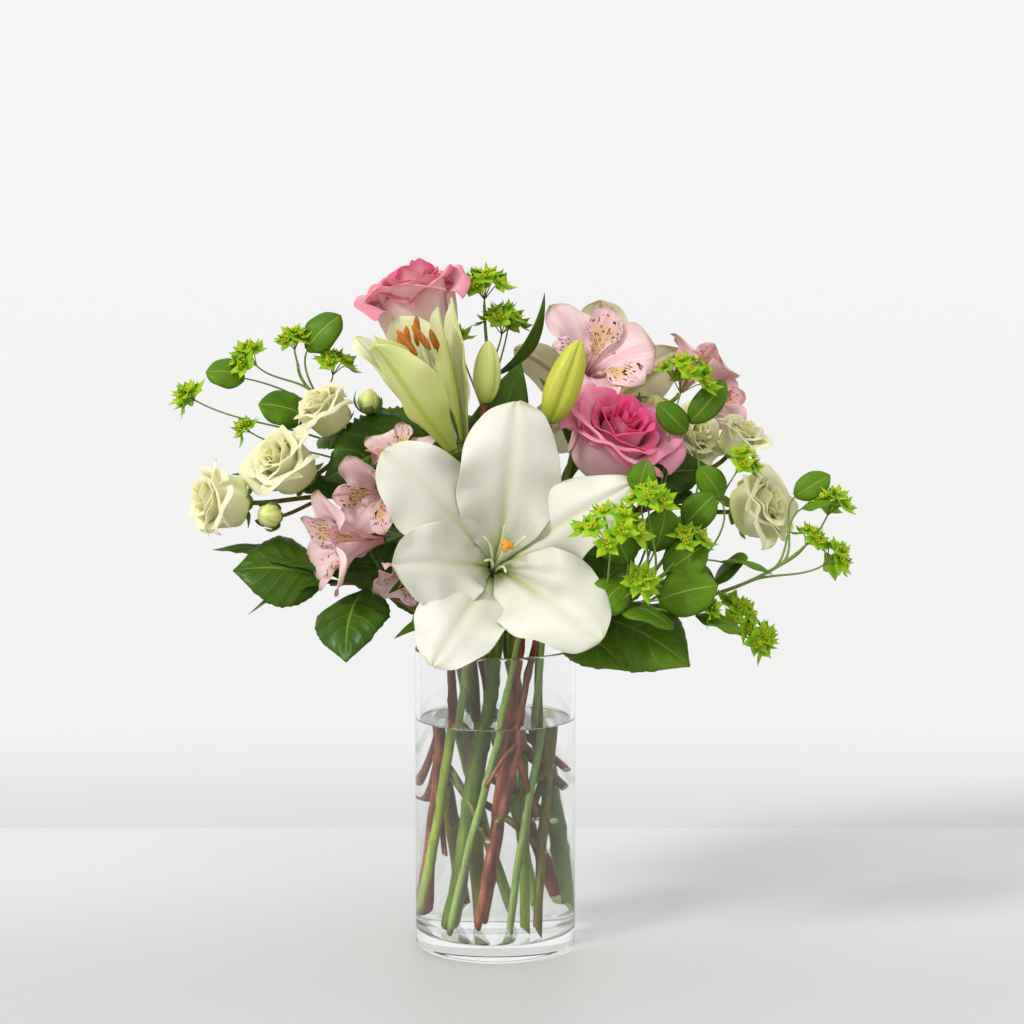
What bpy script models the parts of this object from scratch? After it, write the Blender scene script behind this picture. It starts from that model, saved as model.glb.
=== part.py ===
"""Lilies in a vase: a hand-tied mixed bouquet standing in a straight glass cylinder of water.

Metres, +Z up. The origin is the centre of the vase's flat underside and -Y is the bouquet's front.
Every flower stem runs straight through the vase as one line of a spiral bundle, narrow at the tie
and wide at the cut ends, and bends to its flowers above the rim. Places above the vase are given
in millimetres from the centre of its rim.
"""
import math

import bmesh
import bpy
from mathutils import Vector

MM = 0.001
GAP = 0.0003                    # clearance between pieces that touch

# Vase and water
VASE_DIAMETER = 0.1016
VASE_HEIGHT = 0.1905
VASE_WALL = 0.003
VASE_FLOOR = 0.011
VASE_FOOT_ROUND = 0.003         # rounding where the wall meets the underside
VASE_SIDES = 40
WATER_DEPTH = 0.134

# The bundle of stems in the vase: an inner and an outer ring of straight, slanting stems
TIE_HEIGHT = 0.130              # height of the bundle's narrowest place above the underside
OUTER_TIE_RADIUS = 0.027
INNER_TIE_RADIUS = 0.0125
OUTER_FOOT_CLEARANCE = 0.010    # from the vase wall to the axis of an outer stem at the vase floor
INNER_FOOT_RADIUS = 0.022
STEM_SIDES = 8
STEM_EXIT = 0.006               # straight run above the rim before a stem starts to bend

# Lily flowers
TEPAL_THICKNESS = 0.0016
TEPAL_CLEARANCE = 0.0010        # between the outer whorl of tepals and the inner whorl
TEPAL_LAYER = TEPAL_THICKNESS + TEPAL_CLEARANCE     # step from the outer whorl to the inner whorl
TEPAL_SEAT = TEPAL_THICKNESS * 3 / 16       # height of a tepal's foot over its seat
TEPAL_SPAN = 0.76               # widest half angle, in radians, that a tepal takes round its flower
CUP_SEAT = 0.0011               # height of the half-open lily's inner cup over its seat
RECEPTACLE_RADIUS = 0.0086
RECEPTACLE_NUB = 0.0056
TEPAL_OUTLINE = ((0.0, 0.16), (0.2, 0.46), (0.4, 0.84), (0.58, 1.0), (0.76, 0.86), (0.9, 0.5), (1.0, 0.08))
LEAF_OUTLINE = ((0.0, 0.07), (0.15, 0.32), (0.35, 0.9), (0.5, 1.0), (0.7, 0.86), (0.88, 0.45), (1.0, 0.06))

LEAF_THICKNESS = 0.0014

IVORY = (0.83, 0.81, 0.66)
GREENISH = (0.55, 0.62, 0.25)
STEM_GREEN = (0.16, 0.26, 0.05)
LEAF_GREEN = (0.04, 0.12, 0.02)
LIME = (0.22, 0.38, 0.04)
CREAM = (0.86, 0.84, 0.58)
ROSE_PINK = (0.85, 0.22, 0.42)
PALE_PINK = (0.87, 0.52, 0.60)


def rim(x, y, z):
    """A point given in millimetres from the centre of the vase's rim."""
    return Vector((x * MM, y * MM, VASE_HEIGHT + z * MM))


# ---------------------------------------------------------------- objects and materials

def material(name, colour, roughness, metallic=0.0):
    """Principled material for one piece."""
    made = bpy.data.materials.new(name)
    made.use_nodes = True
    shader = made.node_tree.nodes["Principled BSDF"]
    shader.inputs["Base Color"].default_value = (*colour, 1.0)
    shader.inputs["Roughness"].default_value = roughness
    shader.inputs["Metallic"].default_value = metallic
    return made


def add(name, shape, colour, roughness=0.5):
    """Object of one named piece from a bmesh, which is freed."""
    mesh = bpy.data.meshes.new(name)
    shape.to_mesh(mesh)
    shape.free()
    mesh.shade_smooth()
    piece = bpy.data.objects.new(name, mesh)
    bpy.context.scene.collection.objects.link(piece)
    mesh.materials.append(material(name + "_finish", colour, roughness))
    return piece


def remove(piece):
    """Delete an object with its mesh."""
    mesh = piece.data
    bpy.data.objects.remove(piece)
    bpy.data.meshes.remove(mesh)


def combine(piece, others, operation):
    """Boolean of the others into the piece, applied; the others are deleted."""
    group = bpy.data.collections.new("tools")
    bpy.context.scene.collection.children.link(group)
    for other in others:
        bpy.context.scene.collection.objects.unlink(other)
        group.objects.link(other)
        other.hide_render = True
        other.display_type = 'WIRE'
    change = piece.modifiers.new("combine", 'BOOLEAN')
    change.operation = operation
    change.solver = 'EXACT'
    change.operand_type = 'COLLECTION'
    change.collection = group
    view = bpy.context.evaluated_depsgraph_get()
    result = bpy.data.meshes.new_from_object(piece.evaluated_get(view))
    old = piece.data
    piece.modifiers.clear()
    piece.data = result
    bpy.data.meshes.remove(old)
    for other in others:
        remove(other)
    bpy.data.collections.remove(group)
    piece.data.name = piece.name


# ---------------------------------------------------------------- solids

def loft(rings):
    """Closed bmesh through rings of equal length, with a cap on each end."""
    shape = bmesh.new()
    loops = [[shape.verts.new(point) for point in ring] for ring in rings]
    count = len(rings[0])
    for low, high in zip(loops, loops[1:]):
        for i in range(count):
            j = (i + 1) % count
            shape.faces.new((low[i], low[j], high[j], high[i]))
    shape.faces.new(reversed(loops[0]))
    shape.faces.new(loops[-1])
    bmesh.ops.recalc_face_normals(shape, faces=shape.faces)
    return shape


def across(direction):
    """Two unit vectors square to a direction, the first as level as it can be."""
    first = Vector((0.0, 0.0, 1.0)).cross(direction)
    if first.length < 0.01:
        first = Vector((1.0, 0.0, 0.0))
    first.normalize()
    return first, direction.cross(first).normalized()


def turned(base, axis, profile, sides):
    """Closed solid of revolution; the profile holds (radius, distance along the axis)."""
    axis = axis.normalized()
    right, up = across(axis)
    rings = []
    for radius, height in profile:
        ring = []
        for i in range(sides):
            angle = math.tau * i / sides
            spoke = right * math.cos(angle) + up * math.sin(angle)
            ring.append(base + axis * height + spoke * radius)
        rings.append(ring)
    return loft(rings)


def tube(points, radii, sides, slant=0.0, arrive=None):
    """Closed round tube along points; slant leans the first end's cut, arrive squares the last."""
    rings = []
    side = None
    for i, point in enumerate(points):
        before = points[max(i - 1, 0)]
        after = points[min(i + 1, len(points) - 1)]
        ahead = (after - before).normalized()
        if arrive and i == len(points) - 1:
            ahead = arrive.normalized()
        if side is None:
            side = across(ahead)[0]
        side = (side - ahead * side.dot(ahead)).normalized()
        other = ahead.cross(side)
        lean = slant if i == 0 else 0.0
        ring = []
        for k in range(sides):
            angle = math.tau * k / sides
            spoke = side * math.cos(angle) + other * math.sin(angle)
            ring.append(point + (spoke + ahead * lean * math.cos(angle)) * radii[i])
        rings.append(ring)
    return loft(rings)


def outline(points, place):
    """Value of an outline, straight between its points."""
    for (start, low), (end, high) in zip(points, points[1:]):
        if place <= end:
            return low + (high - low) * (place - start) / (end - start)
    return points[-1][1]


def smooth_path(points, start, end, steps):
    """Smooth curve through points that leaves along start and arrives along end."""
    slopes = [(after - before) * 0.5 for before, after in zip(points, points[2:])]
    first = start.normalized() * (points[1] - points[0]).length
    last = end.normalized() * (points[-1] - points[-2]).length
    slopes = [first] + slopes + [last]
    path = [points[0]]
    for i in range(len(points) - 1):
        for k in range(1, steps + 1):
            t = k / steps
            path.append(points[i] * (2 * t ** 3 - 3 * t ** 2 + 1)
                        + slopes[i] * (t ** 3 - 2 * t ** 2 + t)
                        + points[i + 1] * (3 * t ** 2 - 2 * t ** 3)
                        + slopes[i + 1] * (t ** 3 - t ** 2))
    return path


def along(path, place):
    """Point and direction at a share of a path, from 0 to 1."""
    spot = place * (len(path) - 1)
    i = min(int(spot), len(path) - 2)
    return path[i].lerp(path[i + 1], spot - i), (path[i + 1] - path[i]).normalized()


# ---------------------------------------------------------------- stems

def ring_line(ring, angle):
    """A stem's straight line in the vase: its point at the tie and its slope for each metre of height.

    The angle, in degrees round the vase, is where the stem crosses the rim.
    """
    inner_radius = VASE_DIAMETER / 2 - VASE_WALL
    if ring == "outer":
        tie, foot = OUTER_TIE_RADIUS, inner_radius - OUTER_FOOT_CLEARANCE
    else:
        tie, foot = INNER_TIE_RADIUS, INNER_FOOT_RADIUS
    drift = math.sqrt(foot ** 2 - tie ** 2) / (TIE_HEIGHT - VASE_FLOOR)
    turn = math.radians(angle) - math.atan(drift * (VASE_HEIGHT - TIE_HEIGHT) / tie)
    point = Vector((math.cos(turn) * tie, math.sin(turn) * tie, TIE_HEIGHT))
    slope = Vector((-math.sin(turn) * drift, math.cos(turn) * drift, 1.0))
    return point, slope


def stem_line(ring, angle, height):
    """Point of a stem's straight line at a height above the underside."""
    point, slope = ring_line(ring, angle)
    return point + slope * (height - TIE_HEIGHT)


class Stem:
    """One cut stem: straight in the vase, then bending through points above the rim."""

    def __init__(self, ring, angle, radius, foot, places, arrive, tip_radius=None):
        self.radius = radius
        self.tip_radius = tip_radius or radius * 0.75
        self.foot = stem_line(ring, angle, VASE_FLOOR + foot)
        self.slope = ring_line(ring, angle)[1]
        leave = stem_line(ring, angle, VASE_HEIGHT + STEM_EXIT)
        self.arrive = arrive
        self.path = smooth_path([leave] + places, self.slope, arrive, 3)

    def solid(self, name):
        """The stem's solid with a slanting cut end."""
        points = [self.foot] + self.path
        count = len(self.path) - 1
        radii = [self.radius]
        for i in range(len(self.path)):
            radii.append(self.radius + (self.tip_radius - self.radius) * i / count)
        return add(name, tube(points, radii, STEM_SIDES, 0.8, self.arrive), STEM_GREEN)

    def channel(self):
        """Cutter for the room that the stem takes up in the water, with clearance."""
        ahead = self.slope.normalized()
        low = self.foot - ahead * (self.radius * 0.8 + GAP)
        high = self.foot + self.slope * (WATER_DEPTH + 0.01)
        wide = self.radius + GAP
        return add("channel", tube([low, high], [wide, wide], STEM_SIDES), STEM_GREEN)

    def shoot(self, place, end, arrive, radius, end_radius=None, rise=0.6):
        """Side shoot from a share of the bent part to a point, arriving along a direction."""
        start, ahead = along(self.path, place)
        leave = ahead * rise + (end - start).normalized() * (1.0 - rise)
        points = smooth_path([start, end], leave, arrive, 3)
        last = end_radius or radius
        radii = [radius + (last - radius) * i / (len(points) - 1) for i in range(len(points))]
        return add("shoot", tube(points, radii, 5, 0.0, arrive), STEM_GREEN)

    def leaf(self, place, tip, width, face, sag=0.12):
        """Leaf from a share of the bent part to its tip."""
        return add("leaf", blade(along(self.path, place)[0], tip, width, face, sag), LEAF_GREEN)

    def stalked_leaf(self, place, base, tip, width, face):
        """Leaf at the end of a thin shoot, in two pieces."""
        ahead = tip - base
        stalk = self.shoot(place, base + ahead * 0.1, ahead, 0.0008)
        return [stalk, add("leaf", blade(base, tip, width, face, 0.12), LEAF_GREEN)]


def blade(base, tip, width, face, sag):
    """Thin leaf solid from base to tip; face is roughly where its upper side looks."""
    chord = tip - base
    side = chord.cross(face).normalized()
    up = side.cross(chord).normalized()
    stations = 4
    rings = []
    for i in range(stations + 1):
        t = i / stations
        middle = base + chord * t + up * (4 * t * (1 - t) * sag * chord.length)
        half = width * 0.5 * outline(LEAF_OUTLINE, t)
        top = []
        bottom = []
        for u in (-1.0, 0.0, 1.0):
            thick = LEAF_THICKNESS * 0.5 * (1.0 - 0.6 * u * u)
            spot = middle + side * (half * u) + up * (0.18 * half * u * u)
            top.append(spot + up * thick)
            bottom.append(spot - up * thick)
        rings.append(top + bottom[::-1])
    return loft(rings)


# ---------------------------------------------------------------- flowers

def trumpet(start_radius, start_height, length, start_angle, end_angle, reach, recurve, stations):
    """Stations (height, radius, angle) of a flower's flaring line, angles from the flower's axis."""
    height, radius = start_height, start_radius
    line = []
    steps = 4
    for i in range(stations + 1):
        s = reach * i / stations
        bend = max(0.0, (s - 0.6) / 0.4)
        angle = math.radians(start_angle + (end_angle - start_angle) * s + recurve * bend ** 2)
        line.append((height, radius, angle))
        for _ in range(steps):
            height += math.cos(angle) * length * reach / stations / steps
            radius += math.sin(angle) * length * reach / stations / steps
    return line


def tepal(base, axis, turn, width, line):
    """One lily tepal: a thin patch of the trumpet round the flower's axis."""
    axis = axis.normalized()
    right, up = across(axis)
    rings = []
    for i, (height, radius, angle) in enumerate(line):
        half = min(width * 0.5 * outline(TEPAL_OUTLINE, i / (len(line) - 1)) / radius, TEPAL_SPAN)
        top = []
        bottom = []
        for u in (-1.0, -0.35, 0.35, 1.0):
            thick = TEPAL_THICKNESS * 0.5 * (1.0 - 0.5 * u * u)
            spoke_angle = math.radians(turn) + u * half
            spoke = right * math.cos(spoke_angle) + up * math.sin(spoke_angle)
            for side, points in ((-1.0, top), (1.0, bottom)):
                out = radius + math.cos(angle) * thick * side
                deep = height - math.sin(angle) * thick * side
                points.append(base + axis * deep + spoke * out)
        rings.append(top + bottom[::-1])
    return loft(rings)


def corolla(base, axis, line, lobes, notch, thickness, turn=0.0):
    """Closed cup of joined petals with a lobed edge, solid at its base."""
    axis = axis.normalized()
    right, up = across(axis)
    sides = lobes * 3
    rings = []
    sheet = [(i, 1.0) for i in range(len(line))] + [(i, -1.0) for i in reversed(range(1, len(line)))]
    for i, side in sheet:
        ring = []
        for k in range(sides):
            angle = math.tau * k / sides + math.radians(turn)
            dip = notch * (0.5 - 0.5 * math.cos(lobes * (angle - math.radians(turn))))
            share = i * (1.0 - dip * i / (len(line) - 1))
            low = min(int(share), len(line) - 2)
            height, radius, lean = (a + (b - a) * (share - low) for a, b in zip(line[low], line[low + 1]))
            out = radius + math.cos(lean) * thickness * 0.5 * side
            deep = height - math.sin(lean) * thickness * 0.5 * side
            spoke = right * math.cos(angle) + up * math.sin(angle)
            ring.append(base + axis * deep + spoke * out)
        rings.append(ring)
    return loft(rings)


def lily(name, base, axis, length, opening, petals):
    """Six separate tepals on a stepped receptacle; petals holds (turn, width, reach, recurve, inner)."""
    for number, (turn, width, reach, recurve, inner) in enumerate(petals, start=1):
        if inner:
            start = (RECEPTACLE_NUB - 0.0010, TEPAL_LAYER + TEPAL_SEAT)
        else:
            start = (RECEPTACLE_NUB + 0.0014, TEPAL_SEAT)
        line = trumpet(*start, length, *opening, reach, recurve, 5)
        add(f"{name}_tepal_{number}", tepal(base, axis, turn, width, line), IVORY)


def receptacle(base, axis):
    """Stepped end of a lily's flower stalk that carries its tepals and stamens."""
    profile = ((0.0026, -0.010), (RECEPTACLE_RADIUS, -0.003), (RECEPTACLE_RADIUS, 0.0),
               (RECEPTACLE_NUB, 0.0), (RECEPTACLE_NUB, TEPAL_LAYER))
    return add("receptacle", turned(base, axis, profile, 12), STEM_GREEN)


def rose(name, base, axis, radius, height, sides, colour):
    """Open rose head of one solid, standing on its stem's end."""
    profile = ((0.14, 0.0), (0.5, 0.06), (0.9, 0.3), (1.0, 0.55), (0.94, 0.8), (0.7, 0.95), (0.35, 1.0))
    shape = [(radius * r, GAP + height * h) for r, h in profile]
    add(name, turned(base, axis, shape, sides), colour)


def bud(name, base, axis, radius, length, colour):
    """Closed pointed bud."""
    profile = ((0.25, 0.0), (0.7, 0.15), (1.0, 0.42), (0.9, 0.65), (0.55, 0.87), (0.12, 1.0))
    shape = [(radius * r, GAP + length * h) for r, h in profile]
    return add(name, turned(base, axis, shape, 10), colour)


def umbel(base, axis, size):
    """Small cup-shaped cluster of yellow-green florets at the end of a shoot."""
    profile = ((0.12, -0.1), (0.7, 0.45), (1.0, 0.75), (0.5, 0.95))
    shape = [(size * 0.5 * r, size * 0.5 * h) for r, h in profile]
    return add("umbel", turned(base, axis, shape, 7), LIME)


# ---------------------------------------------------------------- the object

def make_vase():
    """Straight glass cylinder with a thick floor, a rounded foot and a rounded rim."""
    outer = VASE_DIAMETER / 2
    inner = outer - VASE_WALL
    rounding = VASE_FOOT_ROUND
    lip = VASE_WALL * 0.5
    profile = [(outer - rounding * (1 - math.sin(a)), rounding * (1 - math.cos(a)))
               for a in (math.radians(d) for d in (0, 30, 60, 90))]
    profile += [(outer - lip + lip * math.cos(a), VASE_HEIGHT - lip + lip * math.sin(a))
                for a in (math.radians(d) for d in (0, 45, 90, 135, 180))]
    profile += [(inner, VASE_FLOOR + rounding), (inner - rounding * 0.3, VASE_FLOOR + rounding * 0.3),
                (inner - rounding, VASE_FLOOR)]
    add("vase", turned(Vector(), Vector((0, 0, 1)), profile, VASE_SIDES), (0.9, 0.95, 0.93), 0.02)


def make_water(stems):
    """Water that fills the vase round the stems."""
    radius = VASE_DIAMETER / 2 - VASE_WALL - GAP
    rounding = VASE_FOOT_ROUND
    low = VASE_FLOOR + GAP
    profile = ((radius - rounding, low), (radius - rounding * 0.3, low + rounding * 0.3),
               (radius, low + rounding), (radius, VASE_FLOOR + WATER_DEPTH))
    water = add("water", turned(Vector(), Vector((0, 0, 1)), profile, VASE_SIDES), (0.85, 0.93, 0.92), 0.0)
    combine(water, [stem.channel() for stem in stems], 'DIFFERENCE')


def make_lily_branch():
    """Main lily stem with its open flower, half-open flower and two buds."""
    half_base, half_axis = rim(-23, -28, 127), Vector((-0.36, -0.2, 0.91))
    stem = Stem("inner", 272, 0.0043, 0.004, [rim(-6, 2, 45), rim(-16, -4, 92), half_base], half_axis)
    open_base, open_axis = rim(0, -38, 54), Vector((0.1, -0.956, 0.276))
    small_base, small_axis = rim(-6, -12, 153), Vector((0.05, 0.05, 1.0))
    large_base, large_axis = rim(33, -47, 142), Vector((0.34, 0.0, 0.94))
    parts = [stem.shoot(0.16, open_base - open_axis * 0.004, open_axis, 0.0032),
             receptacle(open_base, open_axis),
             receptacle(half_base, half_axis),
             stem.shoot(0.72, small_base, small_axis, 0.0022),
             stem.shoot(0.6, large_base, large_axis, 0.0024)]
    body = stem.solid("lily_stem")
    combine(body, parts, 'UNION')
    lily("open_lily", open_base, open_axis, 0.116, (20, 95), (
        (84, 0.064, 0.95, 0, True), (186, 0.052, 0.74, 25, True), (316, 0.062, 0.84, 0, True),
        (27, 0.046, 0.92, 0, False), (139, 0.054, 0.95, 0, False), (237, 0.052, 0.84, 0, False)))
    make_stamens(open_base, open_axis)
    lily("half_open_lily", half_base, half_axis, 0.089, (23, 12), (
        (100, 0.046, 1.0, 0, False), (220, 0.046, 1.0, 20, False), (340, 0.046, 1.0, 18, False)))
    cup = trumpet(0.0035, TEPAL_LAYER + CUP_SEAT, 0.084, 18, 4, 1.0, 0, 4)
    add("half_open_lily_inner", corolla(half_base, half_axis, cup, 3, 0.25, 0.0016), IVORY)
    bud("lily_bud_small", small_base, small_axis, 0.009, 0.039, CREAM)
    bud("lily_bud_large", large_base, large_axis, 0.013, 0.054, GREENISH)
    return stem


def make_stamens(base, axis):
    """Six curved filaments round the pistil of the open lily."""
    axis = axis.normalized()
    right, up = across(axis)
    foot = base + axis * (TEPAL_LAYER + GAP)
    for number in range(6):
        angle = math.radians(30 + 60 * number)
        spoke = right * math.cos(angle) + up * math.sin(angle)
        points = [foot + spoke * 0.0026, foot + axis * 0.036 + spoke * 0.006, foot + axis * 0.064 + spoke * 0.014]
        path = smooth_path(points, axis, axis * 0.8 + spoke * 0.6, 2)
        add(f"lily_filament_{number + 1}", tube(path, [0.0008] * len(path), 6), GREENISH)
    profile = ((0.0012, 0.0), (0.0011, 0.066), (0.0032, 0.072), (0.0030, 0.075))
    add("lily_pistil", turned(foot, axis, profile, 8), GREENISH)


def make_back_lily():
    """Second lily stem, whose open flower faces the back."""
    base, axis = rim(64, 50, 142), Vector((0.25, 0.9, 0.32))
    stem = Stem("outer", 75, 0.0040, 0.012, [rim(22, 40, 60), rim(50, 37, 112), base], axis)
    body = stem.solid("back_lily_stem")
    long_leaf = stem.leaf(0.55, rim(4, 34, 190), 0.013, Vector((-0.4, -0.8, 0.3)), 0.05)
    combine(body, [receptacle(base, axis), long_leaf], 'UNION')
    lily("back_lily", base, axis, 0.078, (22, 98), (
        (90, 0.044, 1.0, 0, True), (210, 0.044, 1.0, 10, True), (328, 0.042, 1.0, 0, True),
        (30, 0.034, 1.0, 0, False), (148, 0.034, 0.95, 20, False), (268, 0.034, 1.0, 0, False)))
    return stem


def make_rose(name, stem, base, axis, radius, height):
    """A rose on its own stem."""
    stem.solid(name + "_stem")
    rose(name + "_flower", base, axis, radius, height, 20, ROSE_PINK)
    return stem


def make_roses():
    """The two large pink roses."""
    top_base, top_axis = rim(-43, 22, 193), Vector((-0.25, -0.1, 0.95))
    right_base, right_axis = rim(66, -5, 112), Vector((0.35, -0.5, 0.78))
    top = Stem("inner", 196, 0.0034, 0.006, [rim(-20, 16, 70), rim(-34, 22, 135), top_base], top_axis)
    right = Stem("inner", 340, 0.0036, 0.015, [rim(34, -6, 48), rim(54, -2, 90), right_base], right_axis)
    make_rose("top_rose", top, top_base, top_axis, 0.033, 0.046)
    make_rose("right_rose", right, right_base, right_axis, 0.037, 0.046)
    return [top, right]


def make_spray(name, stem, blooms, buds):
    """Branched stem of small cream roses: blooms hold (share of stem, base, axis, radius, height)."""
    parts = [stem.shoot(place, base, axis, 0.0015) for place, base, axis, radius, height in blooms[1:]]
    for place, base, axis, radius, length in buds:
        parts.append(stem.shoot(place, base + axis.normalized() * 0.001, axis, 0.0012))
        parts.append(bud("bud", base, axis, radius, length, CREAM))
    body = stem.solid(name + "_stem")
    combine(body, parts, 'UNION')
    for number, (place, base, axis, radius, height) in enumerate(blooms, start=1):
        rose(f"{name}_rose_{number}", base, axis, radius, height, 14, CREAM)


def make_sprays():
    """Cream spray roses on the left and on the right."""
    left = [(1.0, rim(-98, 5, 137), Vector((-0.5, -0.3, 0.7)), 0.018, 0.027),
            (0.72, rim(-121, -8, 107), Vector((-0.45, -0.5, 0.5)), 0.0225, 0.031),
            (0.5, rim(-154, -14, 92), Vector((-0.87, -0.4, 0.1)), 0.0215, 0.032)]
    left_buds = [(0.85, rim(-80, 8, 146), Vector((0.1, -0.1, 1.0)), 0.0075, 0.016),
                 (0.55, rim(-134, -20, 84), Vector((-0.4, -0.7, 0.1)), 0.008, 0.018)]
    right = [(1.0, rim(115, 20, 125), Vector((0.5, -0.55, 0.4)), 0.0185, 0.026),
             (0.66, rim(147, 8, 121), Vector((0.4, -0.3, 0.7)), 0.0150, 0.024),
             (0.55, rim(152, -2, 86), Vector((0.75, -0.5, 0.25)), 0.0245, 0.030)]
    right_buds = [(0.9, rim(101, 26, 142), Vector((0.0, -0.4, 0.9)), 0.0085, 0.017)]
    left_stem = Stem("outer", 178, 0.0028, 0.008, [rim(-66, 3, 58), rim(-90, 8, 110), left[0][1]], left[0][2])
    right_stem = Stem("outer", 20, 0.0028, 0.005, [rim(70, 14, 55), rim(98, 16, 95), right[0][1]], right[0][2])
    make_spray("left_spray", left_stem, left, left_buds)
    make_spray("right_spray", right_stem, right, right_buds)
    return [left_stem, right_stem]


def make_alstroemeria(name, stem, blooms, leaves=()):
    """Branched stem with funnel flowers: blooms hold (share, base, axis, depth, opening)."""
    parts = [stem.shoot(place, base, axis, 0.0014, rise=0.3) for place, base, axis, depth, flare in blooms[1:]]
    parts += [stem.leaf(*leaf) for leaf in leaves]
    body = stem.solid(name + "_stem")
    combine(body, parts, 'UNION')
    for number, (place, base, axis, depth, flare) in enumerate(blooms, start=1):
        line = trumpet(0.0016, GAP + 0.0008, depth, 12, flare, 1.0, 0, 3)
        add(f"{name}_{number}", corolla(base, axis, line, 6, 0.22, 0.0014), PALE_PINK)


def make_alstroemerias():
    """Pink alstroemeria on the left front and on the right back."""
    left = [(1.0, rim(-56, -20, 108), Vector((-0.1, -0.4, 0.7)), 0.032, 75),
            (0.7, rim(-66, -15, 100), Vector((-0.4, -0.8, 0.1)), 0.044, 75),
            (0.6, rim(-66, -37, 71), Vector((-0.9, -0.35, -0.08)), 0.052, 60),
            (0.5, rim(-56, -33, 62), Vector((0.1, -0.6, -0.6)), 0.032, 75)]
    right = [(1.0, rim(56, 36, 164), Vector((0.1, -0.7, 0.6)), 0.058, 80),
             (0.8, rim(118, 36, 158), Vector((0.5, 0.2, 0.8)), 0.040, 70),
             (0.7, rim(127, 44, 146), Vector((0.8, 0.2, 0.2)), 0.036, 70)]
    left_stem = Stem("outer", 236, 0.0026, 0.010, [rim(-36, -22, 50), rim(-50, -16, 85), left[0][1]], left[0][2])
    right_stem = Stem("inner", 48, 0.0026, 0.003, [rim(36, 22, 70), rim(52, 30, 130), right[0][1]], right[0][2])
    make_alstroemeria("left_alstroemeria", left_stem, left,
                      [(0.1, rim(-60, -62, 14), 0.012, Vector((0.3, 0.2, 1.0)))])
    make_alstroemeria("right_alstroemeria", right_stem, right)
    return [left_stem, right_stem]


def make_bupleurum(name, stem, umbels, leaves, stalked=()):
    """Branched stem with umbels (share, place, size), leaves (share, tip, width, face) and stalked leaves."""
    parts = []
    for place, base, size in umbels:
        axis = base - along(stem.path, place)[0] + Vector((0, 0, 0.02))
        parts.append(stem.shoot(place, base, axis, 0.0008))
        parts.append(umbel(base, axis, size))
    parts += [stem.leaf(*leaf) for leaf in leaves]
    for leaf in stalked:
        parts += stem.stalked_leaf(*leaf)
    body = stem.solid(name)
    combine(body, parts, 'UNION')
    return stem


def make_bupleurums():
    """The four yellow-green filler branches."""
    front = Vector((0.0, -0.8, 0.6))
    up = Vector((0.0, -0.3, 1.0))
    left = Stem("outer", 150, 0.0022, 0.007,
                [rim(-66, 30, 80), rim(-100, 34, 140), rim(-126, 30, 176)], up, 0.0009)
    make_bupleurum("bupleurum_left", left,
                   [(1.0, rim(-128, 30, 186), 0.022), (0.85, rim(-152, 28, 176), 0.022),
                    (0.75, rim(-104, 32, 170), 0.020), (0.5, rim(-190, 20, 154), 0.018),
                    (0.45, rim(-156, 22, 134), 0.016)],
                   [(0.3, rim(-100, 44, 110), 0.028, up)],
                   [(0.8, rim(-120, 28, 186), rim(-98, 26, 208), 0.024, front),
                    (0.62, rim(-160, 28, 168), rim(-184, 24, 172), 0.021, front),
                    (0.55, rim(-120, 26, 144), rim(-150, 18, 152), 0.026, front)])
    top = Stem("inner", 118, 0.0022, 0.011,
               [rim(-4, 34, 90), rim(-4, 38, 160), rim(-7, 34, 214)], up, 0.0009)
    make_bupleurum("bupleurum_top", top,
                   [(1.0, rim(-7, 33, 220), 0.026), (0.7, rim(4, 34, 196), 0.020), (0.6, rim(8, 60, 200), 0.020),
                    (0.5, rim(-24, 66, 190), 0.020)],
                   [(0.45, rim(14, 14, 160), 0.028, front), (0.3, rim(-30, 60, 130), 0.026, up)])
    right = Stem("outer", 296, 0.0022, 0.006,
                 [rim(42, -48, 20), rim(78, -80, 40), rim(108, -82, 66)], Vector((0.5, 0.0, 1.0)), 0.0009)
    make_bupleurum("bupleurum_front", right,
                   [(0.5, rim(68, -106, 73), 0.036), (0.45, rim(84, -104, 52), 0.018),
                    (0.8, rim(90, -98, 94), 0.024), (1.0, rim(113, -82, 70), 0.022)],
                   [(0.7, rim(122, -90, 44), 0.022, front), (0.4, rim(100, -92, 26), 0.022, up),
                    (0.85, rim(158, -66, 60), 0.020, up), (0.9, rim(124, -72, 94), 0.018, front),
                    (0.75, rim(94, -78, 112), 0.020, front)])
    far = Stem("outer", 352, 0.0022, 0.009,
               [rim(70, -16, 22), rim(140, -28, 38), rim(186, -28, 62)], Vector((0.8, 0.0, 0.6)), 0.0009)
    make_bupleurum("bupleurum_right", far,
                   [(1.0, rim(206, -16, 84), 0.026), (0.85, rim(192, -22, 66), 0.018),
                    (0.78, rim(204, -20, 54), 0.024), (0.5, rim(141, -48, 24), 0.026),
                    (0.56, rim(156, -46, 12), 0.020)],
                   [(0.93, rim(206, -10, 104), 0.018, front), (0.89, rim(212, -24, 94), 0.016, up)])
    return [left, top, right, far]


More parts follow.
